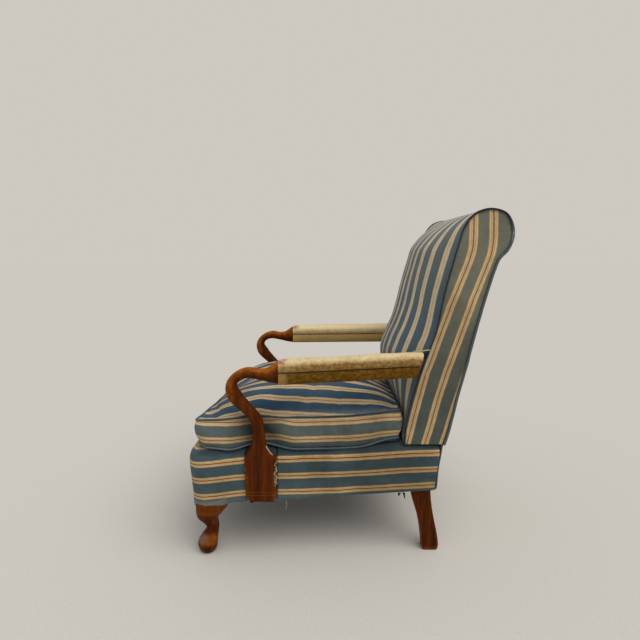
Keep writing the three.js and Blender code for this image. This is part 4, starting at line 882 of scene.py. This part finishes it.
for side_name, hand in (("left", 1), ("right", -1)):
    along = np.concatenate([np.zeros(END_ROWS), np.linspace(0, 1, LENGTH_ROWS), np.ones(END_ROWS)])
    narrowing = np.sin(np.linspace(0.05, 1, END_ROWS) * math.pi / 2)
    shrink = np.concatenate([narrowing, np.ones(LENGTH_ROWS), narrowing[::-1]])
    cap = np.zeros(len(along))
    cap[:END_ROWS] = -3.0 * np.cos(np.linspace(0, 1, END_ROWS) * math.pi / 2)
    turn = np.linspace(0, 2 * math.pi, ROLL_SIDES, endpoint=False)
    flat_y = mix(ARM_FRONT, ARM_REAR, along)
    shape = np.interp(along, [0, 0.03, 0.3, 0.6, 0.97, 1], [0.93, 1, 1.01, 0.99, 1, 0.95])
    wide = np.sign(np.sin(turn)) * np.abs(np.sin(turn)) ** 0.8 * ROLL_HALF
    up = np.maximum(0, 0.42 + 0.58 * np.sign(np.cos(turn)) * np.abs(np.cos(turn)) ** 0.9 - 0.02)
    tall = (ROLL_TALL + 3.0 * along) * mix(1, shape, 0.7)
    centre_z = ROLL_BASE + arm_rise(flat_y) + tall * 0.42
    px = arm_middle(flat_y)[:, None] + wide * (shape * shrink)[:, None]
    pz = ROLL_BASE + arm_rise(flat_y)[:, None] + tall[:, None] * up
    pz = mix(centre_z[:, None], pz, shrink[:, None])
    py = mix(ARM_FRONT, arm_rear(pz), along[:, None]) + cap[:, None]
    roll = points_of(px, py, pz)
    full = smooth(0, 0.04, along)[:, None] * up[None, :]
    lump = ripple(roll / 1000 * [1, 0.5, 1], 0.09, 41 + hand) * 1.3 + ripple(roll / 1000, 0.03, 43) * 0.4
    lump *= full
    roll[..., 2] += lump
    roll[..., 0] += lump * 0.5 * np.sin(turn)
    rub = 0.85 * smooth(0.45, 0.95, up)[None, :] + 0.1 * smooth(0.15, 0, along)[:, None]
    rub = rub + 0.7 * smooth(-0.3, -0.9, wide / ROLL_HALF)[None, :]
    stain = np.exp(-(((along[:, None] - 0.02) / 0.035) ** 2)) * smooth(0.5, 0.85, up)[None, :]
    piece = put_piece(
        side_name + "_arm_roll", side_name + "_arm_pad", roll * [hand, 1, 1],
        tube_panels(len(along), ROLL_SIDES), [roll_velvet],
        {"wear": rub + 0.12 * ripple(roll / 1000, 0.06, 47), "stain": stain})

    turn = np.linspace(0, 2 * math.pi, SKIRT_SIDES, endpoint=False) + math.pi / 4
    square = np.maximum(np.abs(np.cos(turn)), np.abs(np.sin(turn)))
    soften = 0.12 * (1 - np.abs(np.cos(2 * turn)) ** 0.5)
    wide = np.cos(turn) / square * (1 - soften)
    up = np.sin(turn) / square * (1 - soften)
    px = arm_middle(flat_y)[:, None] + wide * (SKIRT_HALF + 0.8 * (1 - up ** 2)) * shrink[:, None]
    pz = (SKIRT_MIDDLE + arm_rise(flat_y))[:, None] + up * SKIRT_HALF_TALL * shrink[:, None]
    py = mix(ARM_FRONT, arm_rear(pz), along[:, None]) + cap[:, None] * 0.7
    skirt = points_of(px, py, pz)
    skirt[..., 0] += ripple(skirt / 1000, 0.05, 45) * 0.7 * np.sign(wide) * (np.abs(up) < 0.8)
    rub = 0.75 * smooth(-0.8, -1, up)[None, :] + 0.5 * smooth(0.09, 0.02, along)[:, None] + 0 * px
    rub = rub + 0.9 * smooth(-0.3, -0.8, wide)[None, :]
    put_piece(
        side_name + "_arm_skirt", side_name + "_arm_border", skirt * [hand, 1, 1],
        tube_panels(len(along), SKIRT_SIDES), [border_velvet], {"wear": rub})


# Mahogany: arm supports, front legs and rear legs

# Show wood in reddish mahogany under old brown polish. Each arm support is one carved
# board, the front legs are cabriole legs with pad feet, the rear legs are sawn and raked.

def mahogany(name, light, dark, grain_stretch):
    """Polished mahogany: long grain of light and dark streaks, short pores, polish worn to
    a duller, paler tone where the piece's own "wear" is high (on the arm supports this also
    holds painted highlights), a pinkish painted highlight on the top of the pad feet, and
    small scuffs."""
    material, tree, spot = new_material(name)
    grain = noise(tree, spot, 60.0, 5.0, 0.62, grain_stretch)
    pores = noise(tree, spot, 300.0, 3.0, 0.6, grain_stretch)
    between = tuple((bright + deep) // 2 for bright, deep in zip(light, dark))
    colour = steps(tree, grain, [(0.28, dark), (0.5, between), (0.72, light)])
    colour = speckle(tree, colour, pores, (0.32, 0.6), (0.5, 1.0))
    worn = own_value(tree, "wear")
    scuff = noise(tree, spot, 75.0, 5.0, 0.7)
    bare = maths(tree, "MULTIPLY", worn, steps(tree, scuff, [(0.34, 0.2), (0.7, 1.0)]))
    colour = blend(tree, bare, colour, (186, 104, 24))
    chips = steps(tree, noise(tree, spot, 210.0, 2.0, 0.6), [(0.72, 0.0), (0.75, 1.0)])
    chips = maths(tree, "MULTIPLY", chips, maths(tree, "MULTIPLY_ADD", worn, 1.0, 0.15))
    colour = blend(tree, chips, colour, (176, 112, 62))
    # Painted highlight: a pinkish grey on the tops of the pad feet
    painted_foot_highlight = own_value(tree, "foot_top_highlight")
    colour = blend(tree, painted_foot_highlight, colour, (128, 96, 84))
    dull = maths(tree, "MULTIPLY_ADD", scuff, 0.3, 0.25)
    dull = maths(tree, "MULTIPLY_ADD", bare, 0.25, dull)
    finish_material(tree, colour, dull, {
        "Specular IOR Level": 0.06, "Coat Weight": 0.03, "Coat Roughness": 0.12}, (pores, 0.25, 0.0005))
    return material


show_wood = mahogany("mahogany_polish", (104, 46, 4), (50, 18, 0), (1.0, 1.0, 0.07))


def corner_ring(turn, squareness):
    """A rounded square ring: cosine and sine raised to 2 over the squareness."""
    cos, sin = np.cos(turn), np.sin(turn)
    power = 2 / squareness
    return np.sign(cos) * np.abs(cos) ** power, np.sign(sin) * np.abs(sin) ** power


SUPPORT_STATIONS = np.array([
    [-115, 549, -115, 489.5, 46, 3], [-122, 547, -122, 490.5, 44, 2.8], [-133, 539, -133, 492, 39, 2.5],
    [-146, 531, -146, 494.5, 34, 2.3], [-166, 529, -165, 499, 30, 2.2], [-190, 533, -186, 503, 30, 2.2],
    [-209, 530, -201, 503.5, 30, 2.2], [-226, 522, -212, 500.5, 30, 2.2], [-240, 511, -219.5, 496, 30, 2.2],
    [-250, 497, -224, 489.5, 30, 2.2], [-255.5, 480, -225, 483, 30, 2.2],
    [-254.5, 463, -221.5, 475.5, 30, 2.2],
    [-248, 447, -214, 466, 30, 2.2], [-235, 432, -207, 455, 30, 2.2], [-217, 416, -193.5, 438, 30, 2.2],
    [-201, 401, -176, 418, 30, 2.2], [-192, 386, -163, 398.5, 30, 2.2], [-188, 370, -157, 376, 30, 2.2],
    [-186, 352, -155, 354, 30, 2.3], [-187.5, 334, -153, 335, 30, 2.5], [-192.5, 318, -149.5, 319, 30, 3],
    [-200, 304, -141.5, 304.5, 30, 4], [-206.5, 293, -132, 293, 30, 6], [-208.5, 284, -125, 284, 30, 8],
    [-207.5, 240, -124, 240, 30, 8], [-207, 196, -127, 196, 30, 8], [-203, 175, -129, 175, 29, 7],
    [-196, 168, -133, 168, 27, 6]])
WOOD_SIDES = 40
BOARD_MIDDLE, BOARD_SHARE = 297.0, 28.0 / 30.0
SCORED_LINES = (195.0, 187.0)
turn = (np.arange(WOOD_SIDES) + 0.5) / WOOD_SIDES * 2 * math.pi
shares = np.concatenate([np.linspace(0, 24.8, 170)[:-1], np.linspace(24.8, 27, 76)]) / 27
cuts = spline(SUPPORT_STATIONS, shares)
for side_name, hand in (("left", 1), ("right", -1)):
    a, b = corner_ring(turn[None, :], cuts[:, 5][:, None])
    px = BOARD_MIDDLE + cuts[:, 4][:, None] * BOARD_SHARE / 2 * b
    py = mix(cuts[:, 2][:, None], cuts[:, 0][:, None], (a + 1) / 2)
    pz = mix(cuts[:, 3][:, None], cuts[:, 1][:, None], (a + 1) / 2)
    bar = points_of(px, py, pz)
    bar[..., 1] += ripple(bar / 1000, 0.03, 51) * 0.35
    wear_and_painted_highlight = np.clip(np.abs(a) * 6 - 5.2, 0, 1) * smooth(300, 280, pz) * 0.5
    # Painted highlights, added to the wear: paler on the top and the front of the curl, on the rear edge of
    # the neck and all round above 400 mm
    wear_and_painted_highlight += 0.8 * smooth(498, 528, pz) * smooth(0.1, 0.9, a) + 0.4 * smooth(-228, -240, py)
    wear_and_painted_highlight += 0.35 * smooth(330, 400, pz) * smooth(0.4, 0.9, -a) + 0.22 * smooth(400, 500, pz)
    scored = np.max([np.exp(-(((pz - line_z) / 0.9) ** 2)) for line_z in SCORED_LINES], 0)
    bar[..., 0] -= 0.8 * scored * smooth(0.5, 0.8, b)
    chipped = smooth(0.55, 0.9, ripple(bar / 1000, 0.012, 52)) * smooth(0.75, 1.0, a) * (pz < 285)
    bar[..., 1] -= 1.6 * chipped * smooth(170, 185, pz)
    # The chips are paled as wear, the scored lines as painted highlight
    wear_and_painted_highlight += 0.8 * chipped + 0.4 * scored
    # Painted shade: less of the paler tone under the neck
    wear_and_painted_highlight -= 0.5 * smooth(300, 420, pz) * smooth(0.1, -0.7, a)
    wear_and_painted_highlight = np.clip(wear_and_painted_highlight, 0, 1)
    put_piece(
        side_name + "_arm_support_wood", side_name + "_arm_support", bar * [hand, 1, 1],
        tube_panels(len(cuts), WOOD_SIDES), [show_wood], {"wear": wear_and_painted_highlight})

LEG_STATIONS = np.array([
    [0, -336, -306, 281, 250, 2], [7, -344, -300, 288, 243, 2], [16, -348, -297, 292, 239, 2],
    [26, -350, -295.5, 293, 238, 2], [36, -347, -294.5, 290, 239, 2], [49, -339, -293.5, 283, 241, 2],
    [58, -331, -293, 276, 241, 2], [67, -327, -292, 273, 241, 2], [76, -330, -292, 275, 241, 2.1],
    [88, -337, -293, 282, 241, 2.3], [100, -345, -292, 290, 240, 2.6], [112, -349.5, -285, 295, 233, 3],
    [124, -351, -274, 297, 222, 3.4], [137, -351, -264, 298, 212, 3.8], [149.6, -350, -259, 298, 207, 4],
    [151, -344, -270, 292, 226, 5], [160, -342, -297, 293, 248, 5], [282, -342, -297, 291, 248, 5]])
cuts = spline(LEG_STATIONS, np.linspace(0, 1, 150))
cuts[:, 0] = np.maximum(cuts[:, 0], 0)
for side_name, hand in (("left", 1), ("right", -1)):
    a, b = corner_ring(turn[None, :], cuts[:, 5][:, None])
    px = mix(cuts[:, 4][:, None], cuts[:, 3][:, None], (a + 1) / 2)
    py = mix(cuts[:, 1][:, None], cuts[:, 2][:, None], (b + 1) / 2)
    pz = cuts[:, 0][:, None] + 0 * px
    rub = 0.5 * smooth(20, 34, pz) * smooth(60, 44, pz) + 0.3 * smooth(110, 125, pz)
    # Painted highlight on the front of each pad foot's top
    foot_top_highlight = 0.75 * smooth(26, 38, pz) * smooth(58, 44, pz) * smooth(0.4, -0.6, b)
    put_piece(
        side_name + "_front_leg_wood", side_name + "_front_leg", points_of(hand * px, py, pz),
        tube_panels(len(cuts), WOOD_SIDES), [show_wood], {"wear": rub, "foot_top_highlight": foot_top_highlight})

POST_FRONT = np.array([
    [278, 0], [275, 36], [270, 73], [261, 109], [248, 144], [244, 173], [249, 232], [265, 310], [276, 345],
    [298, 440], [320, 530], [342, 620], [365, 700], [388, 770], [404, 840], [411, 880]], float)
POST_REAR = np.array([
    [320, 0], [323, 14], [320, 44], [310, 84], [302, 127], [297, 173], [299, 232], [314, 310], [324, 345],
    [346, 440], [368, 530], [388, 620], [411, 700], [434, 784], [447, 820], [464, 880]], float)
POST_TOP, POST_HALF = 880.0, 19.0
post_z = np.concatenate([[0, 0.8, 3], np.linspace(6, POST_TOP, 150)])
front_y = np.interp(post_z, POST_FRONT[:, 1], POST_FRONT[:, 0])
rear_y = np.interp(post_z, POST_REAR[:, 1], POST_REAR[:, 0])
window = np.ones(9) / 9
front_y[8:-8] = np.convolve(front_y, window, "same")[8:-8]
rear_y[8:-8] = np.convolve(rear_y, window, "same")[8:-8]
tread = np.interp(post_z, [0, 0.8, 3], [2.0, 0.8, 0.0])
for side_name, hand in (("left", 1), ("right", -1)):
    a, b = corner_ring(turn[None, :], 9.0)
    outer = mix(262.0, 236.0, post_z / POST_TOP)[:, None]
    px = outer - POST_HALF + (POST_HALF - tread[:, None]) * a
    py = (front_y + rear_y)[:, None] / 2 + ((rear_y - front_y)[:, None] / 2 - tread[:, None]) * b
    pz = post_z[:, None] + 0 * px
    rub = np.clip(np.abs(b) * 6 - 5.2, 0, 1) * 0.35 + 0.5 * smooth(14, 0, pz)
    put_piece(
        side_name + "_rear_leg_wood", side_name + "_rear_leg_post", points_of(hand * px, py, pz),
        tube_panels(len(post_z), WOOD_SIDES), [show_wood], {"wear": rub})


# Hidden frame and filling

# Beech rails, blocks and dowels, jute webbing, hessian, stuffing, calico, springs and
# screws stay as the frame maker has them, and only get their own finishes here.

def plain_finish(name, light, dark, scale, rough, stretch=(1, 1, 1), metal=0.0):
    """One simple finish: two tones mixed by stretched noise, and the same noise as relief."""
    material, tree, spot = new_material(name)
    pattern = noise(tree, spot, scale, 4.0, 0.6, stretch)
    colour = steps(tree, pattern, [(0.3, dark), (0.7, light)])
    finish_material(tree, colour, rough, {"Metallic": metal}, (pattern, 0.3, 0.0006))
    return material


FINISHES = (
    (("rail", "block", "dowel"), plain_finish(
        "beech_frame", (186, 150, 104), (150, 112, 70), 40.0, 0.65, (1, 0.15, 1))),
    (("webbing",), plain_finish("jute_webbing", (176, 156, 116), (132, 112, 76), 420.0, 0.9)),
    (("hessian", "edge_roll"), plain_finish(
        "hessian_sacking", (160, 136, 96), (118, 96, 60), 520.0, 0.95)),
    (("stuffing",), plain_finish("cotton_flock", (206, 196, 170), (168, 156, 128), 160.0, 0.95)),
    (("deck_cloth",), plain_finish("calico_lining", (208, 198, 174), (184, 174, 150), 380.0, 0.9)),
    (("spring", "screw"), plain_finish(
        "spring_wire", (150, 148, 142), (96, 88, 76), 300.0, 0.45, metal=0.9)))
for node_name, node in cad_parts.items():
    fitting = [finish for words, finish in FINISHES if any(word in node_name for word in words)]
    if fitting:
        node.data.materials.clear()
        node.data.materials.append(fitting[0])


# Dust cover

# Thin black cotton tacked under the rails. Age has let it sag, and its edge hangs in
# tatters and loose threads along the near rail.

black_cotton, tree, spot = new_material("black_dust_cotton")
threads = noise(tree, spot, 700.0, 2.0, 0.6)
lint = steps(tree, noise(tree, spot, 60.0, 4.0, 0.6), [(0.45, (24, 23, 22)), (0.75, (58, 54, 48))])
finish_material(tree, lint, 0.95, relief=(threads, 0.4, 0.0004))


def dust_edge(y):
    """Half width of the dust cover: it reaches 8 mm under the side rails, less between the
    rear legs."""
    return np.minimum(mix(253.0, 234.0, (y + 307.0) / 557.0) - 9.0, np.where(y > 239, 210.0, 260.0))


cover_v = np.linspace(-307, 250, 84)[:, None]
cover_u = np.linspace(-1, 1, 71)[None, :]
x = cover_u * dust_edge(cover_v)
y = cover_v + 0 * cover_u
hollow = (1 - cover_u ** 2) * (1 - ((cover_v + 28.5) / 278.5) ** 2)
z = 155.1 + 0.035 * (y + 354) - 20.0 * hollow
flutter = ripple(points_of(x, y, 0) / 1000, 0.07, 61) * 1.2 * smooth(1.0, 0.93, np.abs(cover_u))
dust_cover = put_piece(
    "dust_cover_cloth", "dust_cover", points_of(x, y, z + flutter), [(grid_faces(*x.shape), None, 0)],
    [black_cotton], thickness=0.0008)

# Tatters of the same cotton that hang from the near edge and the rear corner: strips with
# a ragged lower end, each bent by its own wave
strips, tatter_panels = [], []
for start_x, start_y, top_z, drop, broad, lean in (
        (296, -254, 166, 11, 9, 3), (293, -243, 165, 6, 7, -2), (292, -196, 163, 9, 12, 4),
        (290, -182, 162, 6, 8, -3), (288, -138, 162, 7, 10, 2), (273, 221, 176, 19, 7, 2),
        (275, 209, 176, 9, 8, -3)):
    s, w = np.meshgrid(np.linspace(0, 1, 9), np.linspace(-1, 1, 7), indexing="ij")
    ragged = 1 - 0.35 * np.abs(np.sin(w * 5.0 + start_y))
    tatter_panels.append((grid_faces(*s.shape, start=len(strips) * s.size), None, 0))
    strips.append(points_of(
        start_x - 6 + 3 * s + 1.5 * np.sin(s * 5 + w), start_y + w * broad / 2 * (1 - 0.55 * s) + lean * s,
        top_z - 2 - drop * s * ragged))
tatters = put_piece(
    "dust_cover_tatters", None, np.array(strips), tatter_panels, [black_cotton],
    thickness=0.0008)


# Torn lining, scrap and loose threads

# Behind the near arm support the white lining and frayed yarns of the border's cut edge show,
# above the near arm's rear end a scrap of cloth hangs over a tear, one thread hangs below.

pale_yarn, tree, spot = new_material("pale_yarn")
fibre = noise(tree, spot, 1100.0, 2.0, 0.6)
colour = steps(tree, fibre, [(0.3, (142, 132, 106)), (0.7, (204, 192, 160))])
finish_material(tree, colour, 0.9, {"Specular IOR Level": 0.1})
LINING = np.array([
    [304, -151, 322], [306, -148, 316], [306, -143.5, 309], [306, -138.5, 302], [304, -134.5, 297]])
SCRAP = np.array([
    [262, 282, 571], [264, 274, 571.5], [265, 264, 570], [265, 254, 568.5], [263, 246, 567.5],
    [259, 238, 567]])
CURLY_YARNS = ((284, 20), (270, 24), (262, 16), (250, 26), (238, 18), (226, 14), (262, 30), (242, 22))
lines = [(LINING, 1.6)]
draw = np.random.default_rng(71)
bend = np.linspace(0, 1, 12)
for top_z, fall in CURLY_YARNS:
    waver = draw.uniform(-1, 1, 4)
    lines.append((points_of(
        311.0 + waver[0] * 1.5 + 1.0 * np.sin(bend * 5 + waver[1] * 3),
        -126.5 + 2.0 * waver[2] + 3.6 * np.sin(bend * 6.5 + waver[3] * 3), top_z - fall * bend), 0.6))
bend = np.linspace(0, 1, 14)
lines.append((points_of(289 + 0.6 * np.sin(bend * 5), -101 + 1.6 * np.sin(bend * 4.0), 162 - 28 * bend), 0.5))
lines.append((SCRAP, 1.5))
YARN_SIDES = 6
yarns, yarn_panels, count = [], [], 0
for path, thickness in lines:
    fine_path = spline(path, np.linspace(0, 1, 3 * len(path)))
    yarns.append(pipe(fine_path, thickness, YARN_SIDES, (1, 0, 0.1)).reshape(-1, 3))
    yarn_panels += tube_panels(len(fine_path), YARN_SIDES, count)
    count += len(yarns[-1])
frayed = put_piece(
    "frayed_yarns", None, np.concatenate(yarns), yarn_panels, [pale_yarn])
